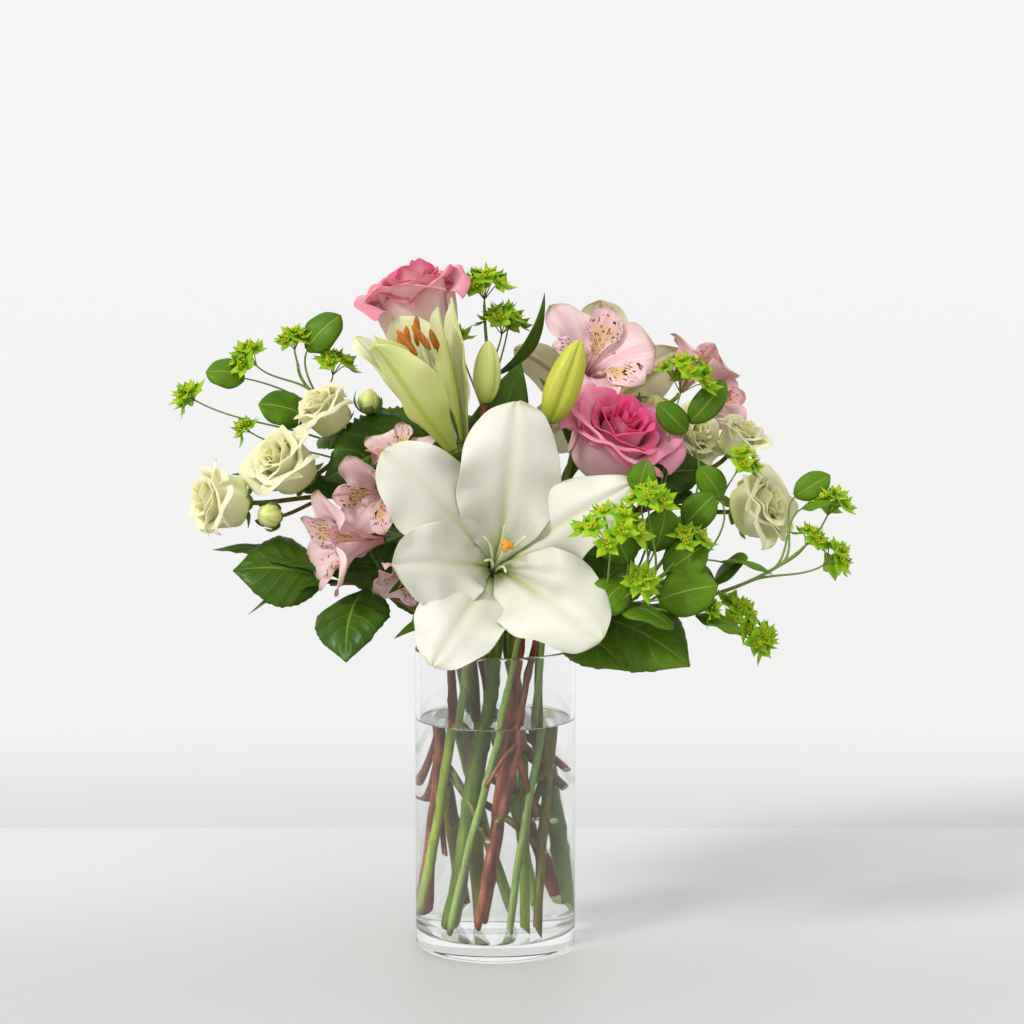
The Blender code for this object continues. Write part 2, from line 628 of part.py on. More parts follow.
def make_salals():
    """The three dark broad-leaved foliage branches."""
    front = Vector((0.0, -0.8, 0.6))
    up = Vector((0.0, -0.2, 1.0))
    left = Stem("outer", 207, 0.0026, 0.004,
                [rim(-52, -24, 28), rim(-80, -26, 42), rim(-102, -20, 42)], Vector((-1, 0, 0)), 0.0014)
    body = left.solid("salal_left")
    combine(body, [left.leaf(0.97, rim(-160, -36, 52), 0.050, front),
                   left.leaf(0.64, rim(-88, -76, 2), 0.048, Vector((-0.3, -0.8, 0.3))),
                   left.leaf(0.85, rim(-176, -10, 62), 0.026, up),
                   left.leaf(0.76, rim(-150, -42, 26), 0.010, up)], 'UNION')
    back = Stem("outer", 116, 0.0026, 0.013,
                [rim(-36, 44, 50), rim(-60, 56, 100)], Vector((-0.4, 0.2, 1.0)), 0.0014)
    body = back.solid("salal_back")
    combine(body, [back.leaf(1.0, rim(-80, 64, 150), 0.042, Vector((-0.3, 0.9, 0.3))),
                   back.leaf(0.6, rim(-24, 88, 96), 0.040, Vector((0.1, 0.8, 0.6))),
                   back.leaf(0.5, rim(-96, 60, 70), 0.040, up),
                   back.leaf(0.3, rim(-20, 92, 44), 0.040, Vector((0.1, 0.6, 0.8)))], 'UNION')
    right = Stem("outer", 322, 0.0026, 0.012, [rim(40, -34, 14), rim(66, -44, 26)], Vector((1, -0.3, 0.2)), 0.0014)
    body = right.solid("salal_right")
    combine(body, [right.leaf(0.9, rim(120, -78, 0), 0.044, up),
                   right.leaf(0.5, rim(74, -82, 0), 0.036, up),
                   right.leaf(0.7, rim(98, -8, 40), 0.034, up)], 'UNION')
    return [left, back, right]


def main():
    """Build every piece in an empty scene."""
    for old in list(bpy.data.objects):
        bpy.data.objects.remove(old)
    make_vase()
    stems = [make_lily_branch(), make_back_lily()]
    stems += make_roses() + make_sprays() + make_alstroemerias() + make_bupleurums() + make_salals()
    make_water(stems)


main()
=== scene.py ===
"""Looks of the lilies in a vase: petals, leaves, stems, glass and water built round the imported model.

Metres, +Z up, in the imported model's own frame. Places above the vase are given in millimetres from
the centre of its rim, as the design gives them, and flower heads sit where their CAD solids do.
"""
import math
import random

import bpy
import numpy as np
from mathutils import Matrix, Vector


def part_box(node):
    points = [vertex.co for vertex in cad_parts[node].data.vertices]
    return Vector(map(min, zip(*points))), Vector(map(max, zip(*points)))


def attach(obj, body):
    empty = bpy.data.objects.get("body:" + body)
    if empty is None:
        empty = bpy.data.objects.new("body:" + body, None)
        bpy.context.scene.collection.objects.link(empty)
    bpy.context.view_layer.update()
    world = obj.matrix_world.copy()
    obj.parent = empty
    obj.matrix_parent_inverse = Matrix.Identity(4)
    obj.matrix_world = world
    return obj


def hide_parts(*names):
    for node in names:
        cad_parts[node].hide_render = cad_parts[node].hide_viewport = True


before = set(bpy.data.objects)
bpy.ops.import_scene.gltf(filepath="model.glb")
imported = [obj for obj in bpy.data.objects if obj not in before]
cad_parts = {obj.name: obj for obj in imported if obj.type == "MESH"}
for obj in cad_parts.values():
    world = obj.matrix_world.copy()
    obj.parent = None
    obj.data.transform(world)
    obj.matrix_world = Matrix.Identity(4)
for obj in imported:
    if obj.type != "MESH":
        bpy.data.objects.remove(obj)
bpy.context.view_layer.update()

# ---------------------------------------------------------------- the frame's own sizes
MM = 0.001
VASE_LOW, VASE_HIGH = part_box("vase")
WATER_LOW, WATER_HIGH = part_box("water")
RIM_HEIGHT = VASE_HIGH[2]
VASE_RADIUS = (VASE_HIGH[0] - VASE_LOW[0]) / 2
GAP = 0.0003                        # the design's clearance between pieces that touch
BORE_RADIUS = (WATER_HIGH[0] - WATER_LOW[0]) / 2 + GAP
FLOOR_HEIGHT = WATER_LOW[2] - GAP
WATER_LEVEL = WATER_HIGH[2]

# The bundle of stems and the seats of lily petals, as the design lays them out
TIE_HEIGHT = 0.130                  # where the spiral bundle is narrowest
OUTER_TIE_RADIUS = 0.027
INNER_TIE_RADIUS = 0.0125
OUTER_FOOT_CLEARANCE = 0.010        # from the glass to an outer stem's axis at the vase's floor
INNER_FOOT_RADIUS = 0.022
STEM_EXIT = 0.006                   # height above the rim where stems begin to bend
TEPAL_LAYER = 0.0026                # how far the inner petals sit above the outer ones
NUB_RADIUS = 0.0056                 # end of a lily's flower stalk

UP = np.array((0.0, 0.0, 1.0))
GOLDEN = math.radians(137.5)        # turn from one petal or floret to the next


def rim(x, y, z):
    """A point given in millimetres from the centre of the vase's rim."""
    return np.array((x * MM, y * MM, RIM_HEIGHT + z * MM))


def vector(x, y, z):
    """Unit vector along (x, y, z)."""
    made = np.array((x, y, z), dtype=float)
    return made / np.linalg.norm(made)


def unit(v):
    """A vector, or each vector of an array, at length one."""
    return v / np.maximum(np.linalg.norm(v, axis=-1, keepdims=True), 1e-9)


def across(axis):
    """Two unit vectors square to an axis, the first level."""
    first = np.cross(UP, axis)
    if np.linalg.norm(first) < 0.01:
        first = np.array((1.0, 0.0, 0.0))
    first = unit(first)
    return first, unit(np.cross(axis, first))


def spoke_at(axis, angle):
    """Unit vector square to an axis, at an angle round it in radians."""
    right, up = across(axis)
    return right * math.cos(angle) + up * math.sin(angle)


# Where lilies, buds and large roses sit, and which way they face, as the design gives them
OPEN_LILY = (rim(0, -38, 54), vector(0.1, -0.956, 0.276))
HALF_OPEN_LILY = (rim(-23, -28, 127), vector(-0.36, -0.2, 0.91))
BACK_LILY = (rim(64, 50, 142), vector(0.25, 0.9, 0.32))
SMALL_BUD = (rim(-6, -12, 153), vector(0.05, 0.05, 1.0))
LARGE_BUD = (rim(33, -47, 142), vector(0.34, 0.0, 0.94))
TOP_ROSE = (rim(-43, 22, 193), vector(-0.25, -0.1, 0.95))
RIGHT_ROSE = (rim(66, -5, 112), vector(0.35, -0.5, 0.78))


# ---------------------------------------------------------------- curves

def cubic(first, first_slope, last, last_slope, t):
    """Smooth curve between two values with given slopes, at a share t from 0 to 1."""
    return (first * (2 * t ** 3 - 3 * t ** 2 + 1) + first_slope * (t ** 3 - 2 * t ** 2 + t)
            + last * (3 * t ** 2 - 2 * t ** 3) + last_slope * (t ** 3 - t ** 2))


def smooth_path(points, start, end, steps):
    """Smooth curve through points that leaves along start and arrives along end."""
    points = [np.asarray(p, dtype=float) for p in points]
    slopes = [(after - before) * 0.5 for before, after in zip(points, points[2:])]
    first = unit(np.asarray(start, dtype=float)) * np.linalg.norm(points[1] - points[0])
    last = unit(np.asarray(end, dtype=float)) * np.linalg.norm(points[-1] - points[-2])
    slopes = [first] + slopes + [last]
    path = [points[0]]
    for i in range(len(points) - 1):
        for k in range(1, steps + 1):
            path.append(cubic(points[i], slopes[i], points[i + 1], slopes[i + 1], k / steps))
    return np.array(path)


def along(path, place):
    """Point and direction at a share of a path, from 0 to 1."""
    spot = place * (len(path) - 1)
    i = min(int(spot), len(path) - 2)
    point = path[i] + (path[i + 1] - path[i]) * (spot - i)
    return point, unit(path[i + 1] - path[i])


LEAST_OUTLINE = 0.02                # keeps tips and hearts from closing to nothing


def outline(points, places):
    """Smooth curve of an outline's values at places from 0 to 1."""
    points = np.array(points, dtype=float)
    slopes = np.gradient(points[:, 1], points[:, 0])
    places = np.clip(np.asarray(places, dtype=float), points[0, 0], points[-1, 0])
    i = np.clip(np.searchsorted(points[:, 0], places, side="right") - 1, 0, len(points) - 2)
    span = points[i + 1, 0] - points[i, 0]
    t = (places - points[i, 0]) / span
    value = cubic(points[i, 1], slopes[i] * span, points[i + 1, 1], slopes[i + 1] * span, t)
    return np.maximum(value, LEAST_OUTLINE)


def window(places, low, high, soft):
    """1 between low and high, fading to 0 over soft on both sides."""
    rise = np.clip((places - low) / soft, 0, 1)
    fall = np.clip((high - places) / soft, 0, 1)
    return (3 * rise ** 2 - 2 * rise ** 3) * (3 * fall ** 2 - 2 * fall ** 3)


def petal_grid(base, axis, angle, out, high):
    """Points round a flower's axis at given angles, radii and heights."""
    right, up = across(axis)
    spoke = np.cos(angle)[..., None] * right + np.sin(angle)[..., None] * up
    return base + axis * high[..., None] + spoke * out[..., None]


# ---------------------------------------------------------------- meshes

def ring_faces(count, sides):
    """Point numbers of a row of rings, and the quads between them."""
    index = np.arange(count * sides).reshape(count, sides)
    low, high = index[:-1], index[1:]
    quads = np.stack((low, np.roll(low, -1, axis=1), np.roll(high, -1, axis=1), high), axis=-1)
    return index, [tuple(q) for q in quads.reshape(-1, 4).tolist()]


class Shape:
    """Collects the closed solids of one piece, with where each point lies on its petal, leaf or stem."""

    NAMES = ("along", "across", "tone", "face")

    def __init__(self):
        self.points = []
        self.faces = []
        self.slots = []
        self.values = {name: [] for name in self.NAMES}
        self.count = 0

    def add(self, points, faces, slot, **values):
        """Add points and faces, with one value of each name for every point."""
        self.points.append(points)
        self.faces += [tuple(i + self.count for i in face) for face in faces]
        self.slots += [slot] * len(faces)
        for name in self.NAMES:
            value = np.asarray(values[name], dtype=float)
            self.values[name].append(np.broadcast_to(value, (len(points),)))
        self.count += len(points)

    def sheet(self, grid, thickness, tone, slot, thin):
        """Closed thin solid on a grid of points, rows along it and columns across it.

        thin is the share of the thickness that it loses toward its two long edges.
        """
        rows, columns = grid.shape[:2]
        normal = unit(np.cross(np.gradient(grid, axis=0), np.gradient(grid, axis=1)))
        u = np.linspace(-1, 1, columns)[None, :]
        v = np.linspace(0, 1, rows)[:, None]
        half = (thickness * 0.5 * (1 - thin * u ** 2) * (1 - 0.5 * v))[..., None]
        top = (grid + normal * half).reshape(-1, 3)
        bottom = (grid - normal * half).reshape(-1, 3)
        index = np.arange(rows * columns).reshape(rows, columns)
        a, b, c, d = index[:-1, :-1], index[1:, :-1], index[1:, 1:], index[:-1, 1:]
        quads = np.stack((a, b, c, d), axis=-1).reshape(-1, 4)
        under = rows * columns
        faces = [tuple(q) for q in quads.tolist()]
        faces += [tuple(i + under for i in reversed(q)) for q in quads.tolist()]
        edge = index[:, 0].tolist() + index[-1, 1:].tolist() + index[-2::-1, -1].tolist()
        edge += index[0, -2:0:-1].tolist()
        for i, j in zip(edge, edge[1:] + edge[:1]):
            faces.append((j, i, i + under, j + under))
        where_u = np.tile(np.broadcast_to(u, (rows, columns)).reshape(-1), 2)
        where_v = np.tile(np.broadcast_to(v, (rows, columns)).reshape(-1), 2)
        face = np.concatenate((np.ones(under), np.zeros(under)))
        points = np.concatenate((top, bottom))
        self.add(points, faces, slot, along=where_v, across=where_u, tone=tone, face=face)

    def tube(self, path, radii, sides, tone=0.5, slot=0, slant=0.0, end_slot=None):
        """Closed round tube; slant leans the cut at its first end, and end_slot is that cut's material."""
        path = np.asarray(path, dtype=float)
        radii = np.broadcast_to(np.asarray(radii, dtype=float), (len(path),))
        ahead = unit(np.gradient(path, axis=0))
        side = across(ahead[0])[0]
        turns = np.arange(sides) * math.tau / sides
        rings = []
        for i, point in enumerate(path):
            side = unit(side - ahead[i] * np.dot(side, ahead[i]))
            other = np.cross(ahead[i], side)
            spokes = np.outer(np.cos(turns), side) + np.outer(np.sin(turns), other)
            if i == 0:
                spokes = spokes + np.outer(np.cos(turns) * slant, ahead[i])
            rings.append(point + spokes * radii[i])
        count = len(path)
        index, faces = ring_faces(count, sides)
        points = np.array(rings).reshape(-1, 3)
        where_v = np.repeat(np.linspace(0, 1, count), sides)
        where_u = np.tile(np.cos(turns), count)
        self.add(points, faces, slot, along=where_v, across=where_u, tone=tone, face=1.0)
        start = self.count - count * sides
        self.faces.append(tuple(start + i for i in reversed(index[0].tolist())))
        self.slots.append(slot if end_slot is None else end_slot)
        self.faces.append(tuple(start + i for i in index[-1].tolist()))
        self.slots.append(slot)

    def turned(self, base, axis, profile, sides, tone=0.5, slot=0, lobes=0, depth=0.0, wet=None):
        """Closed solid of revolution from (radius, distance) points; lobes and depth groove its sides.

        wet is a test on a stretch's middle (radius, distance) that gives it the next material.
        """
        right, up = across(axis)
        turns = np.arange(sides) * math.tau / sides
        spokes = np.outer(np.cos(turns), right) + np.outer(np.sin(turns), up)
        wave = 1 - depth * (0.5 - 0.5 * np.cos(lobes * turns)) ** 4
        rings = [base + axis * height + spokes * (radius * wave)[:, None] for radius, height in profile]
        points = np.array(rings).reshape(-1, 3)
        count = len(profile)
        index, faces = ring_faces(count, sides)
        faces.append(tuple(reversed(index[0].tolist())))
        faces.append(tuple(index[-1].tolist()))
        where_v = np.repeat(np.linspace(0, 1, count), sides)
        where_u = np.tile(np.cos(lobes * turns / 2 if lobes else turns), count)
        self.add(points, faces, slot, along=where_v, across=where_u, tone=tone, face=1.0)
        if wet:
            first = len(self.slots) - len(faces)
            for i, (one, two) in enumerate(zip(profile, profile[1:])):
                if wet((one[0] + two[0]) / 2, (one[1] + two[1]) / 2):
                    self.slots[first + i * sides:first + (i + 1) * sides] = [slot + 1] * sides

    def make(self, name, materials, nodes, levels=0):
        """The piece as an object that rides on the body and stands for its CAD nodes.

        levels is how often its faces are divided.
        """
        mesh = bpy.data.meshes.new(name)
        mesh.from_pydata(np.concatenate(self.points).tolist(), [], self.faces)
        for value in self.NAMES:
            layer = mesh.attributes.new(value, 'FLOAT', 'POINT')
            layer.data.foreach_set("value", np.concatenate(self.values[value]).astype(np.float32))
        for made in materials:
            mesh.materials.append(made)
        mesh.polygons.foreach_set("material_index", self.slots)
        mesh.shade_smooth()
        mesh.update()
        piece = bpy.data.objects.new(name, mesh)
        bpy.context.scene.collection.objects.link(piece)
        if levels:
            finer = piece.modifiers.new("finer", 'SUBSURF')
            finer.levels = levels
            finer.render_levels = levels
        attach(piece, "root")
        if nodes:
            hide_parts(*nodes)


# ---------------------------------------------------------------- materials

TONE_SCALE = 37.0                   # sets the grain of one petal or leaf apart from the next


class Nodes:
    """Small builder for one node tree."""

    def __init__(self, tree):
        self.tree = tree

    def node(self, kind, **settings):
        """A new node with its settings."""
        made = self.tree.nodes.new(kind)
        for key, value in settings.items():
            setattr(made, key, value)
        return made

    def link(self, source, target):
        """Link a socket, or set a plain value on the target."""
        if isinstance(source, bpy.types.NodeSocket):
            self.tree.links.new(source, target)
        else:
            target.default_value = source

    def axes(self, space):
        """The three coordinates of a point in one of the texture spaces."""
        split = self.node("ShaderNodeSeparateXYZ")
        self.link(self.node("ShaderNodeTexCoord").outputs[space], split.inputs[0])
        return split.outputs

    def math(self, operation, first, second=0.0):
        """A math node's result."""
        made = self.node("ShaderNodeMath", operation=operation)
        for socket, source in zip(made.inputs, (first, second)):
            self.link(source, socket)
        return made.outputs[0]

    def times(self, first, second):
        """Two values multiplied."""
        return self.math('MULTIPLY', first, second)

    def spread(self, source, low, high, new_low=0.0, new_high=1.0):
        """A value's range mapped smoothly to another."""
        made = self.node("ShaderNodeMapRange", interpolation_type='SMOOTHSTEP')
        for socket, value in zip(made.inputs, (source, low, high, new_low, new_high)):
            self.link(value, socket)
        return made.outputs[0]


class Look(Nodes):
    """Small builder for one node material."""

    def __init__(self, name):
        self.material = bpy.data.materials.new(name)
        self.material.use_nodes = True
        super().__init__(self.material.node_tree)
        self.shader = self.tree.nodes["Principled BSDF"]
        self.output = self.tree.nodes["Material Output"]

    def value(self, name):
        """One of the piece's own point values."""
        return self.node("ShaderNodeAttribute", attribute_name=name).outputs["Fac"]

    def mix(self, factor, first, second):
        """Two colours mixed."""
        made = self.node("ShaderNodeMix", data_type='RGBA', clamp_factor=True)
        for place, source in ((0, factor), (6, first), (7, second)):
            plain = isinstance(source, tuple)
            self.link((*source, 1.0) if plain else source, made.inputs[place])
        return made.outputs[2]

    def noise(self, scale, detail, stretch=(1, 1, 1)):
        """Noise over the piece's own space."""
        place = self.node("ShaderNodeTexCoord").outputs["Object"]
        mapping = self.node("ShaderNodeMapping")
        mapping.inputs["Scale"].default_value = stretch
        self.link(place, mapping.inputs["Vector"])
        made = self.node("ShaderNodeTexNoise")
        self.link(mapping.outputs[0], made.inputs["Vector"])
        made.inputs["Scale"].default_value = scale
        made.inputs["Detail"].default_value = detail
        return made.outputs["Fac"]

    def grain(self, along_scale, across_scale, detail):
        """Noise drawn out along a petal, leaf or stem, by its own coordinates."""
        place = self.node("ShaderNodeCombineXYZ")
        scales = (("along", along_scale), ("across", across_scale), ("tone", TONE_SCALE))
        for target, (name, scale) in zip(place.inputs, scales):
            self.link(self.times(self.value(name), scale), target)
        made = self.node("ShaderNodeTexNoise")
        self.link(place.outputs[0], made.inputs["Vector"])
        made.inputs["Scale"].default_value = 1.0
        made.inputs["Detail"].default_value = detail
        return made.outputs["Fac"]

    def bump(self, height, strength, distance):
        """Fine relief on the main shader."""
        made = self.node("ShaderNodeBump")
        made.inputs["Strength"].default_value = strength
        made.inputs["Distance"].default_value = distance
        self.link(height, made.inputs["Height"])
        self.link(made.outputs[0], self.shader.inputs["Normal"])

    def dull(self, level):
        """Set how strongly the surface mirrors."""
        self.shader.inputs["Specular IOR Level"].default_value = level

    def finish(self, colour, roughness, through=0.0):
        """Set colour and roughness; through is the share of light that a petal or leaf lets through."""
        self.link(colour, self.shader.inputs["Base Color"])
        self.link(roughness, self.shader.inputs["Roughness"])
        if through:
            thin = self.node("ShaderNodeBsdfTranslucent")
            self.link(colour, thin.inputs["Color"])
            both = self.node("ShaderNodeMixShader")
            both.inputs[0].default_value = through
            self.link(self.shader.outputs[0], both.inputs[1])
            self.link(thin.outputs[0], both.inputs[2])
            self.link(both.outputs[0], self.output.inputs["Surface"])
        return self.material


def lily_look(name, body, throat, rib, back):
    """Waxy lily petal: coloured throat and midrib, fine long veins, greener back."""
    look = Look(name)
    v, u, face = look.value("along"), look.value("across"), look.value("face")
    side = look.math('ABSOLUTE', u)
    colour = look.mix(look.spread(look.noise(55, 2), 0.35, 0.7), body, tuple(c * 0.965 for c in body))
    near_rib = look.spread(side, 0.02, 0.17, 1.0, 0.0)
    throat_reach = look.spread(look.math('ADD', v, look.times(side, 0.2)), 0.04, 0.36, 1.0, 0.0)
    colour = look.mix(look.times(throat_reach, 0.9), colour, throat)
    rib_share = look.times(near_rib, look.spread(v, 0.08, 0.8, 0.7, 0.04))
    colour = look.mix(rib_share, colour, rib)
    colour = look.mix(look.spread(v, 0.95, 1.0, 0.0, 0.4), colour, rib)
    outside = look.mix(look.times(near_rib, 0.7), back, rib)
    outside = look.mix(look.spread(v, 0.0, 0.75, 0.75, 0.0), outside, throat)
    colour = look.mix(face, outside, colour)
    veins = look.grain(2.0, 17.0, 2.0)
    colour = look.mix(look.spread(veins, 0.5, 0.85, 0.0, 0.14), colour, tuple(c * 0.88 for c in body))
    look.bump(look.math('ADD', veins, look.times(look.noise(900, 2), 0.2)), 0.22, 0.0009)
    look.dull(0.3)
    look.shader.inputs["Sheen Weight"].default_value = 0.05
    return look.finish(colour, look.spread(veins, 0.2, 0.8, 0.42, 0.52), 0.3)


def rose_look(name, heart, mid, pale, rim_colour, base, edge, outer_edge):
    """Velvety rose petal, from a deep heart to pale outer petals with darker rolled edges.

    edge and outer_edge are the shares of the rim's colour on inner and outer petals.
    """
    look = Look(name)
    v, tone, face = look.value("along"), look.value("tone"), look.value("face")
    side = look.math('ABSOLUTE', look.value("across"))
    inside = look.mix(look.spread(tone, 0.0, 0.45), heart, mid)
    inside = look.mix(look.spread(tone, 0.35, 0.9, 0.0, 0.9), inside, pale)
    outside = look.mix(0.75, inside, pale)
    colour = look.mix(face, outside, inside)
    lip = look.spread(look.math('ADD', v, look.times(side, 0.10)), 0.72, 1.02)
    edging = look.times(lip, look.spread(tone, 0.4, 0.9, edge, outer_edge))
    colour = look.mix(edging, colour, rim_colour)
    colour = look.mix(look.spread(v, 0.05, 0.55, 0.9, 0.0), colour, base)
    veins = look.grain(2.5, 14.0, 3.0)
    colour = look.mix(look.spread(veins, 0.45, 0.8, 0.0, 0.12), colour, mid)
    blotch = look.spread(look.grain(1.5, 5.0, 2.0), 0.45, 0.75, 0.0, 0.45)
    colour = look.mix(blotch, colour, pale)
    look.bump(look.math('ADD', veins, look.times(look.noise(700, 2), 0.3)), 0.25, 0.0006)
    look.dull(0.2)
    return look.finish(colour, look.spread(veins, 0.2, 0.8, 0.5, 0.62), 0.5)


def alstroemeria_look(name, body, deep, patch=None):
    """Pink alstroemeria petal; the inner ones have a yellow patch and dark dashes."""
    look = Look(name)
    v, u, face = look.value("along"), look.value("across"), look.value("face")
    side = look.math('ABSOLUTE', u)
    streak = look.grain(3.0, 9.0, 3.0)
    colour = look.mix(look.spread(streak, 0.42, 0.8, 0.0, 0.55), body, deep)
    colour = look.mix(look.spread(side, 0.0, 0.3, 0.3, 0.0), colour, deep)
    colour = look.mix(look.spread(v, 0.9, 1.0, 0.0, 0.8), colour, (0.45, 0.34, 0.16))
    colour = look.mix(look.spread(v, 0.0, 0.4, 0.85, 0.0), colour, (0.62, 0.16, 0.09))
    if patch:
        middle = look.times(look.spread(v, 0.3, 0.48), look.spread(v, 0.66, 0.82, 1.0, 0.0))
        middle = look.times(middle, look.spread(side, 0.45, 0.9, 1.0, 0.0))
        colour = look.mix(look.times(middle, 0.85), colour, patch)
        dashes = look.grain(20.0, 10.0, 0.0)
        mark = look.spread(dashes, 0.64, 0.69)
        reach = look.times(look.spread(v, 0.3, 0.42), look.spread(v, 0.82, 0.95, 1.0, 0.0))
        colour = look.mix(look.times(mark, reach), colour, (0.20, 0.012, 0.03))
    colour = look.mix(look.times(look.math('SUBTRACT', 1.0, face), 0.35), colour, deep)
    look.bump(streak, 0.4, 0.0008)
    look.dull(0.3)
    return look.finish(colour, 0.5, 0.3)


def leaf_look(name, upper, light, vein, under, ribs, slant, gloss, through=0.15):
    """Leaf with a pale midrib and slanting side veins; with no ribs they run along the leaf."""
    look = Look(name)
    v, u, face = look.value("along"), look.value("across"), look.value("face")
    side = look.math('ABSOLUTE', u)
    mottle = look.spread(look.noise(60, 3), 0.35, 0.7)
    colour = look.mix(look.times(mottle, 0.6), upper, light)
    colour = look.mix(look.spread(look.value("tone"), 0.0, 1.0, 0.0, 0.5), colour, light)
    rib_line = look.spread(side, 0.015, 0.06, 1.0, 0.0)
    count = look.math('SUBTRACT', look.times(v, ribs), look.times(side, slant))
    ripple = look.math('ABSOLUTE', look.math('SUBTRACT', look.math('FRACT', count), 0.5))
    side_line = look.spread(ripple, 0.0, 0.075, 1.0, 0.0)
    side_line = look.times(side_line, look.spread(side, 0.0, 1.0, 1.0, 0.35))
    lines = look.math('MAXIMUM', rib_line, look.times(side_line, 0.6))
    colour = look.mix(look.times(lines, 0.7), colour, vein)
    below = look.mix(look.times(lines, 0.5), under, vein)
    colour = look.mix(face, below, colour)
    relief = look.math('SUBTRACT', look.times(look.noise(420, 2), 0.35), lines)
    look.bump(relief, 0.5, 0.0007)
    look.dull(0.3)
    return look.finish(colour, look.spread(face, 0.0, 1.0, 0.6, gloss), through)


def stem_look(name, body, light, mark, streaks=0.5):
    """Stem or bark with long streaks, small dark marks and a soft gloss."""
    look = Look(name)
    long_grain = look.noise(260, 3, (1, 1, 0.12))
    colour = look.mix(look.spread(long_grain, 0.35, 0.7, 0.0, streaks), body, light)
    patches = look.noise(38, 2)
    colour = look.mix(look.spread(patches, 0.45, 0.75, 0.0, 0.5), colour, mark)
    dots = look.spread(look.noise(600, 1), 0.64, 0.74, 0.0, 0.7)
    colour = look.mix(dots, colour, tuple(c * 0.4 for c in mark))
    look.bump(long_grain, 0.8, 0.0012)
    return look.finish(colour, look.spread(long_grain, 0.3, 0.7, 0.34, 0.55))


def plain_look(name, body, second, roughness, scale, through=0.0):
    """Small organic piece of two close colours."""
    look = Look(name)
    patches = look.noise(scale, 3)
    colour = look.mix(look.spread(patches, 0.3, 0.7), body, second)
    look.dull(0.25)
    look.bump(patches, 0.4, 0.0005)
    return look.finish(colour, roughness, through)


def bud_look(name, body, tip, groove):
    """Closed bud: streaked, with green seams and a paler tip."""
    look = Look(name)
    v, u = look.value("along"), look.value("across")
    streak = look.grain(2.0, 9.0, 3.0)
    colour = look.mix(look.spread(streak, 0.3, 0.75, 0.0, 0.6), body, tip)
    colour = look.mix(look.spread(v, 0.55, 1.0, 0.0, 0.5), colour, tip)
    seam = look.spread(look.math('ABSOLUTE', u), 0.0, 0.35, 1.0, 0.0)
    colour = look.mix(look.times(seam, 0.7), colour, groove)
    colour = look.mix(look.spread(v, 0.0, 0.35, 0.7, 0.0), colour, groove)
    look.bump(streak, 0.4, 0.0008)
    return look.finish(colour, 0.42, 0.15)


def clear_look(name, ior, tint, edge_tint, gloss):
    """Glass or water that lamps shine through, a little darker where it is seen edge on."""
    look = Look(name)
    look.dull(gloss)
    shader = look.shader
    facing = look.node("ShaderNodeLayerWeight").outputs["Facing"]
    look.link(look.mix(look.spread(facing, 0.72, 1.0), tint, edge_tint), shader.inputs["Base Color"])
    shader.inputs["Roughness"].default_value = 0.0
    shader.inputs["IOR"].default_value = ior
    shader.inputs["Transmission Weight"].default_value = 1.0
    see = look.node("ShaderNodeBsdfTransparent")
    see.inputs["Color"].default_value = (*[c * 0.98 for c in tint], 1.0)
    both = look.node("ShaderNodeMixShader")
    look.link(look.node("ShaderNodeLightPath").outputs["Is Shadow Ray"], both.inputs[0])
    look.link(shader.outputs[0], both.inputs[1])
    look.link(see.outputs[0], both.inputs[2])
    look.link(both.outputs[0], look.output.inputs["Surface"])
    return look.material


IVORY = lily_look("ivory_petal", (0.88, 0.87, 0.79), (0.62, 0.70, 0.08), (0.66, 0.69, 0.30),
                  (0.80, 0.80, 0.64))
HALF_OPEN = lily_look("half_open_petal", (0.93, 0.93, 0.72), (0.56, 0.68, 0.05), (0.58, 0.70, 0.12),
                      (0.88, 0.91, 0.46))
BLUSH = lily_look("back_lily_petal", (0.86, 0.82, 0.68), (0.56, 0.56, 0.10), (0.50, 0.26, 0.14),
                  (0.80, 0.76, 0.56))
PINK_ROSE = rose_look("pink_rose_petal", (0.92, 0.03, 0.30), (0.96, 0.22, 0.48), (0.98, 0.74, 0.80),
                      (0.96, 0.13, 0.42), (0.97, 0.86, 0.82), 0.6, 0.3)
PALE_ROSE = rose_look("pale_rose_petal", (0.88, 0.14, 0.36), (0.93, 0.38, 0.52), (0.97, 0.82, 0.80),
                      (0.86, 0.11, 0.34), (0.95, 0.90, 0.76), 0.5, 0.5)
CREAM_ROSE = rose_look("cream_rose_petal", (0.95, 0.93, 0.54), (0.97, 0.95, 0.70), (0.97, 0.96, 0.78),
                       (0.97, 0.95, 0.80), (0.86, 0.90, 0.34), 0.3, 0.3)
ALSTRO_OUTER = alstroemeria_look("alstroemeria_outer", (0.95, 0.79, 0.79), (0.88, 0.45, 0.52))
ALSTRO_INNER = alstroemeria_look("alstroemeria_inner", (0.94, 0.75, 0.76), (0.86, 0.40, 0.46),
                                 (0.86, 0.66, 0.30))
SALAL = leaf_look("salal_leaf", (0.035, 0.095, 0.004), (0.09, 0.19, 0.009), (0.24, 0.36, 0.06),
                  (0.13, 0.25, 0.03), 7.0, 1.6, 0.34)
BROAD = leaf_look("broad_leaf", (0.065, 0.15, 0.006), (0.14, 0.25, 0.012), (0.26, 0.38, 0.06),
                  (0.16, 0.28, 0.04), 6.0, 1.8, 0.38)
LANCE = leaf_look("lance_leaf", (0.055, 0.13, 0.006), (0.12, 0.23, 0.012), (0.20, 0.32, 0.04),
                  (0.15, 0.26, 0.04), 0.0, 2.5, 0.38)
ROUND_LEAF = leaf_look("bupleurum_leaf", (0.08, 0.20, 0.004), (0.18, 0.34, 0.010), (0.46, 0.58, 0.12),
                       (0.16, 0.32, 0.03), 0.0, 3.5, 0.42, 0.22)
BRACT = plain_look("bupleurum_bract", (0.28, 0.56, 0.015), (0.55, 0.74, 0.04), 0.5, 160, 0.3)
